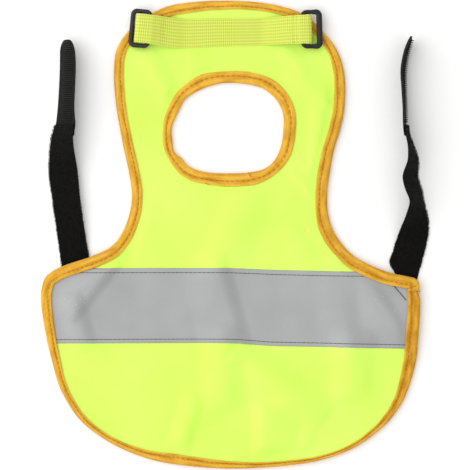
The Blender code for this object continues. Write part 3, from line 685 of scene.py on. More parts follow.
def reflectiveTape(finish):
    # grid with x along the tape and share from its lower to its upper edge, z = tapeTop
    size = tapeSize
    x = np.arange(-131.0, 125.5, size["cell"])
    share = np.linspace(0.0, 1.0, 41)[:, None]
    upper, lower = tapeEdges(x)
    y = lower + (upper - lower) * share
    flat, quads = trimmed(np.stack((np.broadcast_to(x, y.shape), y), axis=-1), size["tuck"])
    item = putMesh("reflectiveTape", np.column_stack((flat, tapeTop(flat))), [quads], finish)
    return thicken(item, size["thickness"])


def tapeSeams(finish):
    # running stitches along the tape, one row inside each edge, and the dark seam of a strap's end
    size = tapeSize
    rows = []
    seams = (0, -size["seamAbove"], size["upperSeam"]), (1, size["seamBelow"], size["lowerSeam"])
    for edge, move, ends in seams:
        def place(x):
            return ontoTape(np.stack((x, tapeEdges(x)[edge] + move), axis=-1))
        rows.append(stitchRow(place, np.arange(*ends, size["pitch"]), size["stitch"] / 2, size["arch"]))
    x1, y1, x2, y2 = size["rootLines"][size["rootSeam"]]
    start, way = np.array((x1, y1)), np.array((x2 - x1, y2 - y1))
    long = np.linalg.norm(way)

    def placeRoot(run):
        return ontoTape(start + way * (run / long)[..., None])
    centres = np.arange(size["rootStart"], long, size["rootPitch"])
    rows.append(stitchRow(placeRoot, centres, size["rootStitch"] / 2, size["arch"]))
    radii = np.full(sum(len(row) for row in rows), size["threadRadius"])
    radii[-len(rows[-1]):] = size["rootRadius"]
    return tubeBundle("tapeSeams", np.concatenate(rows), radii, finish)


def rootDots(finish):
    # single light stitches of the straps' ends, each a short slanting arch
    size = tapeSize
    spots = np.array(size["rootDots"])

    def place(run):
        return ontoTape(spots[:, None, :] + run[..., None] * np.array((0.8, -0.6)))
    stitches = stitchRow(place, np.zeros(len(spots)), size["dot"] / 2, size["dotArch"])
    return tubeBundle("rootDots", stitches, size["threadRadius"], finish)


# bindings

bindingSize = {
    "width": 7.8,                # of each leg, unless "seen" says otherwise for the upper one
    "top": 3.5, "wall": 1.0, "round": 1.7,
    "groove": 0.3, "grooveHalf": 0.075, "droop": 0.4, "droopFrom": 0.86,
    "pitch": 3.27, "stitch": 2.2, "arch": 0.2, "threadRadius": 0.21,
    "bartackFrom": 0.36, "bartackTo": 0.95, "bartackPitch": 0.115, "bartackArch": 0.16,
    "tapeLift": 0.5, "tapeAbove": 6.0, "tapeBelow": 3.0, "tapeRamp": 8.0,
    "strainSkew": 0.55,          # pitches by which the drag marks slant from the seam to the fold
}
edgeBindingSize = {
    "step": 1.0, "pucker": 0.12, "wavy": 0.1, "seed": 11, "seam": 0.66,
    "startAt": 2.0, "startInset": 1.1, "startLift": 1.05,
    "lap": 8.4, "endLift": 1.15, "cornerRound": 4, "bartack": 3.7,
    "seen": [    # distance along the fold from the right corner, how wide the binding looks from above
        (0, 7.9), (36, 8.5), (54, 8.5), (72, 7.3), (90, 5.6), (108, 4.0), (126, 3.2), (144, 2.9), (180, 3.4),
        (198, 4.0), (216, 5.0), (234, 6.3), (252, 7.0), (270, 5.4), (288, 4.2), (306, 3.9), (324, 4.4),
        (360, 5.4), (396, 6.7), (432, 7.7), (450, 7.8), (504, 7.1), (540, 6.6), (558, 6.2), (576, 6.4),
        (630, 6.6), (666, 7.0), (684, 6.2), (702, 5.5), (756, 5.4), (774, 5.7), (792, 7.0), (810, 7.3),
        (846, 7.3), (864, 8.0), (882, 7.7), (900, 8.7), (918, 8.1), (936, 8.4), (954, 8.1), (985, 7.9),
        (995, 7.9),
    ],
    # loose thread ends: start, middle and end of each
    "ends": [((121.0, -37.3, 3.7), (122.3, -38.1, 3.4), (123.3, -37.7, 2.6)),
             ((118.9, -37.5, 4.4), (119.5, -38.5, 4.2), (120.7, -38.7, 3.7))],
    "shadeAndWear": [    # distance along the fold, how much lighter the cloth looks there: partly wear, partly painted light and shade of the stretches that face towards or away from the light
        (0, -0.25), (60, -0.25), (130, -0.05), (250, 0.0), (420, 0.0), (560, 0.1), (700, 0.15),
        (840, 0.0), (985, -0.1),
    ],
}
neckBindingSize = {
    "count": 300, "pucker": 0.13, "wavy": 0.1, "seed": 23, "seam": 0.6, "joint": 239, "jointLift": 0.4,
    "jointFade": 9.0,
    "ends": [((-19.9, 34.9, 3.3), (-17.9, 33.6, 3.3), (-15.8, 34.1, 2.8)),
             ((9.0, 41.6, 3.7), (9.6, 40.2, 4.1), (10.6, 38.6, 4.1))],
    "shadeAndWear": [(0, 0.12), (300, 0.12)],
}


def edgeStrip():
    # fold line and inner edge of the long binding; its end turns the corner and laps over its start
    size, width = edgeBindingSize, bindingSize["width"]
    loop = bodyPath(size["step"])
    path = np.vstack((loop[:-1], loop[:int(round(size["lap"] / size["step"])) + 1]))
    number = np.arange(len(path))
    reach = size["cornerRound"]
    rounded = sum(np.roll(path, move, axis=0) for move in range(-reach, reach + 1)) / (2 * reach + 1)
    nearCorner = ease((2 * reach - np.abs(number - len(loop) + 1) * size["step"]) / reach)[:, None]
    path = path + (rounded - path) * nearCorner * (number < len(path) - reach)[:, None]
    inward = turnedRight(unit(np.gradient(path, axis=0)))
    inner = path + width * inward
    clear = nearLine(inner, loop[:-1], True) > width - 0.3
    clear = clear | (number < size["lap"]) | (number >= len(path) - 2)
    inner = along(number, number[clear], inner[clear])
    run = runAlong(path)
    start = 1 - ease((run - size["lap"]) / 6)
    path = path + inward * size["startInset"] * start[:, None]
    keep = run >= size["startAt"]
    run, path, inner, start = run[keep], path[keep], inner[keep], start[keep]
    end = ease((run - run[-1] + size["lap"] + 3) / 5)
    seen = np.interp(run, *np.array(size["seen"]).T) / width
    lifts = {"base": size["startLift"] * start, "top": size["endLift"] * end}
    return {**size, "run": run, "fold": path, "inner": inner, "closed": False, "seen": seen, **lifts}


def neckStrip():
    # closed strip: its fold is the hole's edge and its legs spread outwards; one end laps over the other
    size = neckBindingSize
    fold, inner = [np.roll(neckPath(size["count"], edge), -size["joint"], axis=0) for edge in (0, 1)]
    fold, inner = np.vstack((fold, fold[:1])), np.vstack((inner, inner[:1]))
    run = runAlong(fold)
    lap = size["jointLift"] * (1 - ease(run / size["jointFade"]))
    return {**size, "run": run, "fold": fold, "inner": inner, "closed": True, "seen": 1 + 0 * run,
            "base": 0 * run, "top": lap}


def tapeLift(points):
    # the tape's ends hold up the upper leg a little
    size = bindingSize
    upper, lower = tapeEdges(points[:, 0])
    above = ease((points[:, 1] - upper - size["tapeAbove"]) / size["tapeRamp"])
    below = ease((lower - points[:, 1] - size["tapeBelow"]) / size["tapeRamp"])
    return size["tapeLift"] * (1.0 - above) * (1.0 - below)


def waves(strip, run):
    # a closed strip's waviness has to meet itself, so it fades to nothing at the strip's ends
    if not strip["closed"]:
        return np.ones_like(run)
    total = strip["run"][-1]
    return ease(np.minimum(run, total - run) / 6.0)


def bindingPlace(strip, run, share, upper=True):
    # in plan: fold + share * (inner edge - fold), with a wavy inner edge on the upper leg
    fold = along(run, strip["run"], strip["fold"])
    inner = along(run, strip["run"], strip["inner"])
    reach = share * np.ones_like(run)
    if upper:
        wavy = strip["wavy"] / bindingSize["width"] * wander(run, strip["seed"] + 5, 13.0) * waves(strip, run)
        reach = reach * np.interp(run, strip["run"], strip["seen"]) * (1.0 + wavy * share)
    return fold + reach[..., None] * (inner - fold)


def roundOver(share):
    # quarter round of the fold: 0 at the fold line, 1 from the rounding's end on
    near = np.clip(share * bindingSize["width"] / bindingSize["round"], 0.0, 1.0)
    return np.sqrt(1.0 - (1.0 - near) ** 2)


def strain(strip, run, share):
    # drag marks of the stitch pitch, slanting to both sides of the seam, uneven in depth and spacing
    size = bindingSize
    slant = size["strainSkew"] * np.abs(share - strip["seam"]) / strip["seam"]
    phase = run / size["pitch"] + slant + 0.2 * wander(run, strip["seed"] + 1, 17.0)
    swell = 0.65 + 0.5 * wander(run, strip["seed"], 31.0)
    broad = 0.7 * wander(run + 2.0 * share, strip["seed"] + 2, 9.0)
    return (np.sin(2 * pi * phase) * swell + broad) * waves(strip, run)


def bindingTop(strip, run, share):
    # upper face: top * (half + half of the rounding) - groove along the seam - droop at the inner edge
    # + drag marks that are strongest between the fold and the seam
    size = bindingSize
    run, share = np.broadcast_arrays(run, share)
    plan = bindingPlace(strip, run, share)
    flat = plan.reshape(-1, 2)
    base = np.interp(run, strip["run"], strip["base"])
    top = size["top"] + np.interp(run, strip["run"], strip["top"])
    z = base + (top - base) * (0.5 + 0.5 * roundOver(share))
    z = z - size["groove"] * np.exp(-((share - strip["seam"]) / size["grooveHalf"]) ** 2)
    z = z - size["droop"] * np.clip((share - size["droopFrom"]) / (1 - size["droopFrom"]), 0.0, 1.0) ** 2
    z = z + strip["pucker"] * strain(strip, run, share) * np.sin(pi * np.clip(share * 1.04, 0.0, 1.0)) ** 0.8
    z = z + (rootLift(flat) + tapeLift(flat)).reshape(run.shape)
    return np.concatenate((plan, z[..., None]), axis=-1)


def bindingShadeAndWear(strip, run, share):
    # painted light and shade on the binding: a painted highlight between fold and seam and on the inner lip,
    # painted shade in the seam's valley and at the very fold, painted shade and highlight of the drag marks,
    # and lighter or darker stretches along the fold from its table
    run, share = np.broadcast_arrays(run, share)
    belly = 0.2 * np.exp(-((share - 0.3) / 0.15) ** 2)
    depth = 0.18 + 0.12 * wander(run, strip["seed"] + 7, 23.0)
    valley = np.exp(-((share - strip["seam"] + 0.04) / 0.11) ** 2) * depth
    lip = 0.24 * ease((share - strip["seam"] - 0.12) / 0.14)
    rim = 0.15 * (1 - ease(share / 0.1))
    # lighter and darker stretches along the strip: partly wear, partly painted light and shade
    shadeAndWear = np.interp(run, *np.array(strip["shadeAndWear"]).T)
    return 0.5 + belly - valley + lip - rim + shadeAndWear + 0.06 * strain(strip, run, share)


def bindingFlat(strip, run, share, height, upper):
    # a plain face of the binding at a height of its own
    run, share = np.broadcast_arrays(run, share)
    plan = bindingPlace(strip, run, share, upper)
    flat = plan.reshape(-1, 2)
    z = height + rootLift(flat).reshape(run.shape)
    if upper:
        z = z + tapeLift(flat).reshape(run.shape)
    return np.concatenate((plan, z[..., None]), axis=-1)


def bindingSkin(name, strip, finish):
    # folded strip: upper face, inner edge, the inside of the fold and the lower face, closed into a loop
    size = bindingSize
    run = (strip["run"][:-1] if strip["closed"] else strip["run"])[:, None]
    base = np.interp(run, strip["run"], strip["base"])
    top = size["top"] + np.interp(run, strip["run"], strip["top"])
    wall = size["wall"]
    outer = np.array((0.0, 0.025, 0.07, 0.13, 0.21, 0.3, 0.39, 0.48, 0.57, 0.65, 0.71, 0.76, 0.8, 0.85, 0.9,
                      0.95, 1.0))
    inside = np.array((0.99, 0.7, 0.4, wall / size["width"]))
    lower = np.array((1.0, 0.7, 0.4, 0.2, 0.1, 0.03))
    upperFace = bindingTop(strip, run, outer)
    # the inside and lower faces keep the fold's painted shade, tone 0.35
    tone = np.full((len(run), len(outer) + 2 * len(inside) + len(lower)), 0.35)
    tone[:, :len(outer)] = bindingShadeAndWear(strip, run, outer)
    upperInside = bindingFlat(strip, run, inside, top - wall - 0.35 * (inside > 0.9), True)
    lowerInside = bindingFlat(strip, run, inside[::-1], base + wall, False)
    lowerFace = bindingFlat(strip, run, lower, base + (top - base) * 0.5 * (1.0 - roundOver(lower)), False)
    points = np.concatenate((upperFace, upperInside, lowerInside, lowerFace), axis=1)
    within = [1.1, 1.4, 1.7, 2.0, 2.1, 2.4, 2.7, 3.0]
    across = np.concatenate((outer, within, 4.0 - lower, [4.0])) * size["width"]
    values = {"tone": tone}
    return loopSkin(name, points, finish, strip["run"], across, wrapRows=strip["closed"], values=values)


def threadEnds(ends):
    # each loose end runs through its three points: a (1 - t) (1 - 2 t) + 4 b t (1 - t) + c t (2 t - 1)
    a, b, c = np.moveaxis(np.array(ends), 1, 0)[:, :, None, :]
    t = np.linspace(0.0, 1.0, 5)[:, None]
    return a * (1 - t) * (1 - 2 * t) + 4 * b * t * (1 - t) + c * t * (2 * t - 1)


def bindingSeam(name, strip, finish):
    # running stitches along the seam line, loose thread ends, and a dense bartack across a lapped end
    size = bindingSize
    first, last = strip["run"][0], strip["run"][-1]
    count = int((last - first) / size["pitch"])
    centres = first + (np.arange(count) + 0.5) * (last - first) / count

    def place(run):
        return bindingTop(strip, run, np.full_like(run, strip["seam"]))
    rows = [stitchRow(place, centres, size["stitch"] / 2, size["arch"]), threadEnds(strip["ends"])]
    if "bartack" in strip:
        def across(share):
            return bindingTop(strip, np.full_like(share, last - strip["bartack"]), share)
        shares = np.arange(size["bartackFrom"], size["bartackTo"], size["bartackPitch"])
        rows.append(stitchRow(across, shares, 0.05, size["bartackArch"]))
    return tubeBundle(name, np.concatenate(rows), size["threadRadius"], finish)


# webbing and rings

webbingSize = {
    "rows": [    # x, y of the centre line, width, lean in degrees
        (-70.0, 138.0, 18.9, 5.5), (-56.0, 136.7, 19.3, 5.5), (-40.0, 134.4, 19.8, 1.0),
        (-10.0, 134.8, 18.7, 0.0), (20.0, 135.4, 18.3, 0.0), (38.0, 136.4, 19.0, -1.5),
        (45.0, 136.7, 19.2, -1.5), (56.0, 137.0, 18.9, -1.5),
    ],
    "wall": 1.1, "step": 0.35, "columns": 61, "width": 19.0,
    "tail": 20.0, "run": 12.5, "rest": 3.0, "tailHeight": 4.5,
    "fall": [(2.0, 0.94), (5.0, 0.6)],
    "ribs": 9, "ribHeight": 0.07, "dash": 1.39, "dashHeight": 0.14, "selvedge": 0.08,
    # stretches with plain cross threads: x from, x to
    "dashZones": [(-65.3, -56.6), (-49.9, -39.9), (-34.6, -23.3), (-19.9, 0.0), (33.4, 50.7)],
    "seamRows": [-49.6, -47.9, 38.6, 41.0], "stitch": 1.7, "pitch": 2.3, "arch": 0.14, "threadRadius": 0.2,
}
ringSize = {
    # side (+1 right), axis x, axis y, lean, outer bar, reach of the webbing's fold past the axis
    "ring_left": (-1, -57.2, 136.8, 5.5, 3.2, 8.8),
    "ring_right": (1, 45.3, 136.7, -1.5, 3.9, 5.6),
    "long": 25.8, "short": 14.5, "bar": 2.9, "play": 0.45, "corner": 2.6, "axisHeight": 7.0,
    "restOn": 3.9, "flare": 0.6, "squareness": 2.7, "flatness": 0.9,
}


def webbingLine():
    # side view from one turned-back end round both ring bars to the other, smoothed and evenly spaced
    size = webbingSize
    turn = ringSize["bar"] / 2 + ringSize["play"] + size["wall"] / 2
    tail = size["tailHeight"]
    doubled = tail + size["wall"] + 0.35
    halves = []
    for name in ("ring_left", "ring_right"):
        side, axisX, reach = ringSize[name][0], ringSize[name][1], ringSize[name][5]
        centre = reach - turn
        stitched = axisX + side * (reach - size["tail"])
        bend = axisX + side * centre
        half = [(stitched, tail), ((stitched + axisX) / 2, tail), (axisX, tail), (bend, tail)]
        for angle in np.linspace(0, pi, 9)[1:-1]:
            half.append((axisX + side * (centre + turn * np.sin(angle)), tail + turn * (1 - np.cos(angle))))
        half += [(bend, tail + 2 * turn), (axisX, tail + 2 * turn)]
        fall = tail + 2 * turn - doubled
        half += [(axisX - side * past, doubled + share * fall) for past, share in size["fall"]]
        half += [(stitched, doubled), (stitched - side * size["run"] / 2, (doubled + size["rest"]) / 2)]
        half += [(stitched - side * size["run"], size["rest"])]
        halves.append(half)
    left, right = halves
    middle = [(x, size["rest"]) for x in np.linspace(left[-1][0], right[-1][0], 9)[1:-1]]
    return evenPath(left + middle + right[::-1], size["step"])


def webbingRelief(x, across):
    # lengthwise ribs, cos of the distance across, a raised selvedge at both edges, and in some stretches
    # cross threads, cos of the distance along
    size = webbingSize
    rib = np.cos(2 * pi * size["ribs"] * across)
    zone = sum(ease((x - low) / 2.0) * ease((high - x) / 2.0) for low, high in size["dashZones"])
    dashes = np.cos(2 * pi * x / size["dash"]) * (0.25 + 0.75 * zone)
    edge = np.exp(-((0.5 - np.abs(across - 0.5)) / 0.03) ** 2)
    crossed = size["dashHeight"] * dashes * (0.75 - 0.25 * rib)
    return size["ribHeight"] * rib + crossed + size["selvedge"] * edge


def webbingSurface(line, share):
    # centre line y and half width with the rings' lean: x + across * sin, y + across * cos
    size = webbingSize
    centre, width, lean = np.moveaxis(readRows(size["rows"], line[:, 0]), -1, 0)
    across = (share - 0.5) * width[:, None]
    lean = np.radians(lean)[:, None]
    x = line[:, :1] + across * np.sin(lean)
    y = centre[:, None] + across * np.cos(lean)
    z = line[:, 1:] + 0.12 * wander(x, 41, 37.0) * np.sin(pi * share)
    return np.stack((x, y, z), axis=-1)


def ringWebbing(finish):
    # flat band along the side view, with ribs on both faces
    size = webbingSize
    line = webbingLine()
    share = np.linspace(0.0, 1.0, size["columns"])
    slope = unit(np.gradient(line, axis=0))
    normals = np.stack((-slope[:, 1], 0 * slope[:, 0], slope[:, 0]), axis=-1)[:, None, :]
    run = runAlong(line)
    relief = webbingRelief(line[:, :1], share[None, :])
    middle = webbingSurface(line, share[None, :])
    half = size["wall"] / 2
    return bandSkin("ringWebbing", middle, normals, half, finish, run, size["width"], (relief, relief))


def webbingSeams(finish):
    # cross rows of stitches through the webbing and its turned-back end
    size = webbingSize
    line = webbingLine()
    paths = []
    for x in size["seamRows"]:
        tops = line[np.abs(line[:, 0] - x) < 0.3]
        z = tops[:, 1].max() + size["wall"] / 2
        centre, width, lean = readRows(size["rows"], np.array([x]))[0]
        across = np.arange(-width / 2 + 1.6, width / 2 - 1.2, size["pitch"])
        t = np.linspace(-0.5, 0.5, 5) * size["stitch"]
        place = across[:, None] + t
        lean = np.radians(lean)
        arch = size["arch"] * (1 - (2 * t / size["stitch"]) ** 4)
        spots = (x + place * np.sin(lean), centre + place * np.cos(lean), z + arch + 0 * place)
        paths.append(np.stack(spots, axis=-1))
    return tubeBundle("webbingSeams", np.concatenate(paths), size["threadRadius"], finish)


def ringCentre(outerBar):
    # rounded rectangle from the hinge bar at x = 0, with the share of extra width for the outer bar
    size = ringSize
    far = size["short"] - size["bar"] / 2 - outerBar / 2
    half, r = (size["long"] - size["bar"]) / 2, size["corner"]
    points = []
    quarters = (far - r, half - r, 0.0), (r, half - r, 0.5), (r, r - half, 1.0), (far - r, r - half, 1.5)
    for x, y, start in quarters:
        angle = pi * (start + 0.5 * np.linspace(0, 1, 11))
        points.append(np.stack((x + r * np.cos(angle), y + r * np.sin(angle)), axis=-1))
    joined = np.concatenate(points)
    closed = np.vstack((joined, joined[:1]))
    run = runAlong(closed)
    line = along(np.linspace(0, run[-1], 161)[:-1], run, closed)
    return line, far


def webbingRing(name, finish):
    # superellipse section carried round the rounded rectangle, then turned and moved onto its hinge axis
    side, axisX, axisY, lean, outerBar = ringSize[name][:5]
    size = ringSize
    line, far = ringCentre(outerBar)
    wider = ease((line[:, 0] - far / 2) / (far / 2 - size["flare"]))
    halfWide = size["bar"] / 2 + (outerBar - size["bar"]) / 2 * wider
    tangent = unit(np.roll(line, -1, axis=0) - np.roll(line, 1, axis=0))
    outward = turnedRight(tangent)
    angle = np.linspace(0, 2 * pi, 25)[:-1]
    power = 2 / size["squareness"]
    across = np.sign(np.cos(angle)) * np.abs(np.cos(angle)) ** power
    up = np.sign(np.sin(angle)) * np.abs(np.sin(angle)) ** power * size["flatness"]
    plan = line[:, None, :] + outward[:, None, :] * (halfWide[:, None] * across)[..., None]
    z = halfWide[:, None] * up
    drop = size["axisHeight"] - size["restOn"] - outerBar / 2
    tilt = np.arcsin(drop / far)
    x = plan[..., 0] * np.cos(tilt) + z * np.sin(tilt)
    height = z * np.cos(tilt) - plan[..., 0] * np.sin(tilt)
    heading = np.radians(-lean) if side > 0 else pi - np.radians(lean)
    worldX = axisX + x * np.cos(heading) - plan[..., 1] * np.sin(heading)
    worldY = axisY + x * np.sin(heading) + plan[..., 1] * np.cos(heading)
    points = np.stack((worldX, worldY, size["axisHeight"] + height), axis=-1)
    runs = np.linspace(0, 75, len(line) + 1), np.linspace(0, 9, len(angle) + 1)
    return loopSkin(name.replace("_l", "L").replace("_r", "R"), points, finish, *runs, wrapRows=True)


# straps

strapSize = {
    # height, left edge, right edge, how far the raised edge stands up
    "left": [
        (129.8, -117.1, -106.9, 17.2), (114.5, -117.1, -105.8, 16.5), (95.8, -117.8, -106.3, 16.4),
        (83.1, -118.7, -106.7, 16.0), (73.1, -119.9, -106.1, 14.5), (65.8, -121.7, -106.9, 13.5),
        (55.8, -123.3, -106.5, 10.8), (40.7, -123.9, -104.6, 5.4), (26.5, -122.1, -103.3, 5.2),
        (5.1, -119.1, -100.6, 3.0), (-15.2, -116.3, -97.4, 0.0), (-48.9, -111.8, -91.9, 0.0),
    ],
    "right": [
        (132.0, 116.1, 120.4, 19.3), (121.6, 112.4, 116.9, 19.4), (110.9, 110.3, 115.2, 19.3),
        (96.1, 110.9, 114.5, 19.6), (83.1, 111.7, 114.7, 19.6), (73.1, 111.9, 115.0, 19.8),
        (66.5, 112.6, 115.8, 19.8), (59.5, 114.0, 118.7, 19.4), (50.5, 114.6, 122.2, 18.3),
        (38.2, 111.2, 122.3, 16.2), (29.8, 113.1, 124.7, 15.8), (23.1, 115.7, 125.9, 16.8),
        (13.5, 113.7, 128.3, 13.0), (3.9, 110.3, 129.2, 5.0), (-9.5, 106.0, 126.9, 0.0),
        (-19.5, 103.5, 124.2, 0.0), (-25.5, 106.6, 122.7, 0.0), (-46.9, 111.4, 117.4, 0.0),
    ],
    # raised edge (+1 right), loop piece's upper end, hook piece's lower end, how far its low edge is out
    "ends": {"left": (1, 73.1, 65.8, 1.0), "right": (-1, 73.1, 65.8, 0.75)},
    "wall": 1.2, "clear": 0.08, "lapGap": -0.5, "lap": 26.0, "lapRamp": 16.0,
    "tipRound": 9.0, "tipFlat": 0.2, "step": 0.5, "columns": 41, "width": 20.0,
}
pileSize = {
    "tufts": 1700, "height": 0.75, "spread": 0.55, "radius": 0.085, "lumps": 0.16, "seed": 7,
    "first": 24.0, "last": 0.5,    # tufts start and stop this far from the loop piece's ends
}
hookSize = {
    "from": 0.36, "to": 0.86, "ribs": 11, "pitch": 1.42, "ground": 0.85, "sunk": -0.35, "rib": 0.2,
    "step": 0.3,
    "first": 8.5, "last": 2.0,    # rows start this far from the lower end and stop this far from the tip
    "radius": {"left": 0.22, "right": 0.32}, "height": {"left": 1.15, "right": 1.5},
    "curl": {"left": 0.3, "right": 0.1},
}


def strapPlace(side, height, share, offset=0.0, out=1.0):
    # low edge on the surface and raised edge above it; offset moves out along the upper face's normal
    size = strapSize
    height, share, offset = np.broadcast_arrays(height, share, np.asarray(offset, dtype=float))
    raised = size["ends"][side][0]
    left, right, rise = np.moveaxis(readRows(size[side], height), -1, 0)
    rise = np.maximum(rise, 0.0)
    seen = (right - left) * out
    tilt = np.arctan2(rise, seen)
    low = size["wall"] / 2 * np.cos(tilt) + size["clear"]
    up = share if raised > 0 else 1.0 - share
    normal = np.stack((-raised * np.sin(tilt), 0 * tilt, np.cos(tilt)), axis=-1)
    points = np.stack((left + share * seen, height, low + up * rise), axis=-1)
    return points + normal * offset[..., None], normal


def loopLift(side, height):
    # the loop piece's free end laps over the hook tape
    size = strapSize
    upperEnd = size["ends"][side][1]
    return (size["wall"] + size["lapGap"]) * ease((height - upperEnd + size["lap"]) / size["lapRamp"])


def loopStrap(side, finish):
    # band through the strap's rows with a lumpy brushed face
    size = strapSize
    low, high = size[side][-1][0], size["ends"][side][1]
    height = np.linspace(low, high, int((high - low) / size["step"]))
    share = np.linspace(0.0, 1.0, size["columns"])
    middle, normal = strapPlace(side, height[:, None], share, loopLift(side, height)[:, None])
    draw = np.random.default_rng(pileSize["seed"])
    lumps = draw.uniform(-1, 1, middle.shape[:2])
    lumps = (lumps + np.roll(lumps, 1, 0) + np.roll(lumps, 1, 1)) / 2 * pileSize["lumps"]
    return bandSkin("loopStrap" + side.title(), middle, normal, 0.5, finish, height - low, size["width"],
                    (lumps, lumps * 0.4))


def loopTufts(side, finish):
    # small arches of fibre: place + normal * height * (1 - t ^ 2) + lean * t, with t from -1 to 1
    size, pile = strapSize, pileSize
    draw = np.random.default_rng(pile["seed"] + len(side))
    low, high = size[side][-1][0] + pile["first"], size["ends"][side][1] - pile["last"]
    height = draw.uniform(low, high, pile["tufts"])
    onFace = pile["tufts"] * 3 // 5
    share = np.concatenate((draw.uniform(0.02, 0.98, onFace),
                            np.where(draw.random(pile["tufts"] - onFace) < 0.5, 0.015, 0.985)))
    foot, normal = strapPlace(side, height, share, loopLift(side, height) + 0.45)
    across = strapPlace(side, height, np.clip(share + 0.01, 0, 1))[0]
    across = across - strapPlace(side, height, share - 0.01)[0]
    turn = draw.uniform(0, 2 * pi, pile["tufts"])[:, None]
    lean = unit(across) * np.cos(turn) + np.array((0.0, 1.0, 0.0)) * np.sin(turn)
    outward = np.where(share < 0.02, -1.0, np.where(share > 0.98, 1.0, 0.0))[:, None]
    grow = unit(normal * (1.0 - 0.8 * np.abs(outward)) + outward * unit(across))
    tall = pile["height"] * draw.uniform(0.4, 1.2, pile["tufts"])[:, None, None]
    t = np.linspace(-1, 1, 5)[None, :, None]
    paths = foot[:, None, :] + grow[:, None, :] * tall * (1 - t * t) + lean[:, None, :] * pile["spread"] * t
    aside = np.cross(lean, grow)
    return tubeBundle("loopTufts" + side.title(), paths, pile["radius"], finish, sides=3, aside=aside)


def hookStrap(side, finish):
    # band with a rounded tip, a thicker selvedge on one edge that its finish paints lighter as a painted
    # highlight, and fine cross ribs
    size = strapSize
    low, high = size["ends"][side][2], size[side][0][0]
    height = np.linspace(low, high, int((high - low) / hookSize["step"]))
    share = np.linspace(0.0, 1.0, size["columns"])
    back = np.clip((high - height) / size["tipRound"], 0.0, 1.0)
    wide = size["tipFlat"] + (1 - size["tipFlat"]) * np.sqrt(1 - (1 - back) ** 2)
    across = 0.5 + (share - 0.5) * wide[:, None]
    middle, normal = strapPlace(side, height[:, None], across, hookSize["sunk"], size["ends"][side][3])
    plain = across < hookSize["from"]
    ribs = hookSize["rib"] * np.cos(2 * pi * height / hookSize["pitch"])[:, None] * (0.4 + 0.6 * plain)
    selvedge = 0.28 * np.exp(-((across - 0.9) / 0.06) ** 2) + 0.1 * np.exp(-((across - 0.05) / 0.04) ** 2)
    return bandSkin("hookStrap" + side.title(), middle, normal, hookSize["ground"] / 2, finish, height - low,
                    size["width"], (ribs + selvedge, ribs * 0.6))


def tapeHooks(side, finish):
    # rows of small hooks on the cross ribs: a stem along the normal that curls over towards the strap's end
    size, hook = strapSize, hookSize
    low, high = size["ends"][side][2] + hook["first"], size[side][0][0] - hook["last"]
    rows = np.arange(np.ceil(low / hook["pitch"]), high / hook["pitch"]) * hook["pitch"]
    ribs = np.linspace(hook["from"], hook["to"], hook["ribs"])
    height, share = [grid.reshape(-1) for grid in np.meshgrid(rows, ribs)]
    inTip = np.clip((size[side][0][0] - height) / size["tipRound"], 0, 1)
    share = 0.5 + (share - 0.5) * np.sqrt(1 - (1 - inTip) ** 2)
    foot, normal = strapPlace(side, height, share, hook["sunk"] + hook["ground"] / 2, size["ends"][side][3])
    up = np.array((0.0, 0.45, 0.85, 1.0, 0.86, 0.62)) * hook["height"][side]
    over = np.array((0.0, 0.0, 0.12, 0.5, 0.9, 1.0)) * hook["curl"][side]
    paths = foot[:, None, :] + normal[:, None, :] * up[:, None] + np.array((0.0, 1.0, 0.0)) * over[:, None]
    aside = np.cross(normal, np.array((0.0, 1.0, 0.0)))
    return tubeBundle("tapeHooks" + side.title(), paths, hook["radius"][side], finish, sides=5, aside=aside)


# scene

def buildStage():
    # pale floor just under the vest, white surroundings, one large soft light from the left
    stage = {"low": "#fbfbfa", "high": "#fdfdfc", "grain": 10 / 3, "floorDrop": 0.05, "half": 3000.0,
             "world": 0.78, "key": 16.5, "keySize": 2200.0, "keyAt": (-860.0, 140.0, 820.0)}
    material, tree, shader = newFinish("paleMattPaper", 0.9, shine=0.1)
    paint(tree, shader, noise(tree, objectSpace(tree), stage["grain"] * mm, 2.0), stage)
    half, z = stage["half"], -stage["floorDrop"]
    corners = np.array([(-half, -half, z), (half, -half, z), (half, half, z), (-half, half, z)])
    floor = putMesh("floor", corners, [np.array([[0, 1, 2, 3]])], material)
    world = bpy.data.worlds.new("studio")
    world.use_nodes = True
    world.node_tree.nodes["Background"].inputs[0].default_value = (1.0, 1.0, 1.0, 1.0)
    world.node_tree.nodes["Background"].inputs[1].default_value = stage["world"]
    bpy.context.scene.world = world
    light = bpy.data.lights.new("softKey", "AREA")
    light.energy, light.size = stage["key"], stage["keySize"] * mm
    key = bpy.data.objects.new("softKey", light)
    key.location = [value * mm for value in stage["keyAt"]]
    key.rotation_euler = (-key.location).to_track_quat("-Z", "Y").to_euler()
    bpy.context.scene.collection.objects.link(key)
    bpy.context.scene.view_settings.view_transform = "Standard"


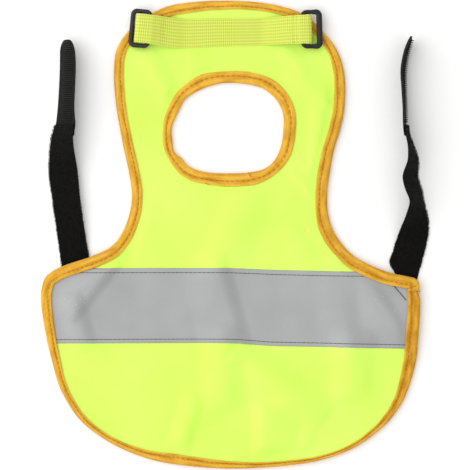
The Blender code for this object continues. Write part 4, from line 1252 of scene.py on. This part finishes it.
def buildCamera():
    # straight above; the frame is 470 pixels of two thirds of a millimetre across
    view = {"across": 470 * 2 / 3, "centre": (0.07, -0.2), "level": 3.0, "lens": 300.0, "sensor": 36.0}
    data = bpy.data.cameras.new("above")
    data.lens, data.sensor_width = view["lens"], view["sensor"]
    camera = bpy.data.objects.new("above", data)
    distance = view["across"] * view["lens"] / view["sensor"]
    camera.location = (view["centre"][0] * mm, view["centre"][1] * mm, (view["level"] + distance) * mm)
    bpy.context.scene.collection.objects.link(camera)
    bpy.context.scene.camera = camera


def buildCloth():
    # body panel with the tape, its stitching and the stitches of the straps' ends
    panel = dress(bodyPanel(fluorescentPolyester()), "vest", "body_panel")
    tape = dress(reflectiveTape(glassBeadTape()), "vest", "reflective_tape")
    seams = dress(tapeSeams(sewingThread("greyThread", "#44444e", "#5a5a65")), "vest")
    dots = dress(rootDots(sewingThread("paleThread", "#b9babc", "#d2d3d5")), "vest")
    print("cloth and tape made")


def buildBindings():
    # both bindings, each with its seam
    twill = amberTwill()
    thread = sewingThread("amberThread", "#986614", "#b68024")
    for name, node, strip in (("edgeBinding", "edge_binding", edgeStrip()),
                              ("neckBinding", "neck_binding", neckStrip())):
        skin = dress(bindingSkin(name, strip, twill), "vest", node)
        seam = dress(bindingSeam(name + "Seam", strip, thread), "vest")
    print("bindings made")


def buildWebbing():
    # webbing on the vest, and each ring on its own body
    webbing = dress(ringWebbing(wovenElastic()), "vest", "ring_webbing")
    seams = dress(webbingSeams(sewingThread("yellowThread", "#b9c846", "#dbe96a")), "vest")
    plastic = mouldedAcetal()
    for name in ("ring_left", "ring_right"):
        dress(webbingRing(name, plastic), name, name)
    print("webbing and rings made")


def buildStraps():
    # both straps: loop piece with its tufts, hook tape with its hooks
    pile, nylon = brushedLoopNylon(), wovenHookNylon()
    filament = sewingThread("hookFilament", "#1b1b1a", "#2a2a28")
    for side in ("left", "right"):
        loop = dress(loopStrap(side, pile), "vest", "strap_%s_loop" % side)
        tufts = dress(loopTufts(side, pile), "vest")
        hooks = dress(hookStrap(side, nylon), "vest", "strap_%s_hook" % side)
        rows = dress(tapeHooks(side, filament), "vest")
    print("straps made")


buildStage()
buildCamera()
buildCloth()
buildBindings()
buildWebbing()
buildStraps()
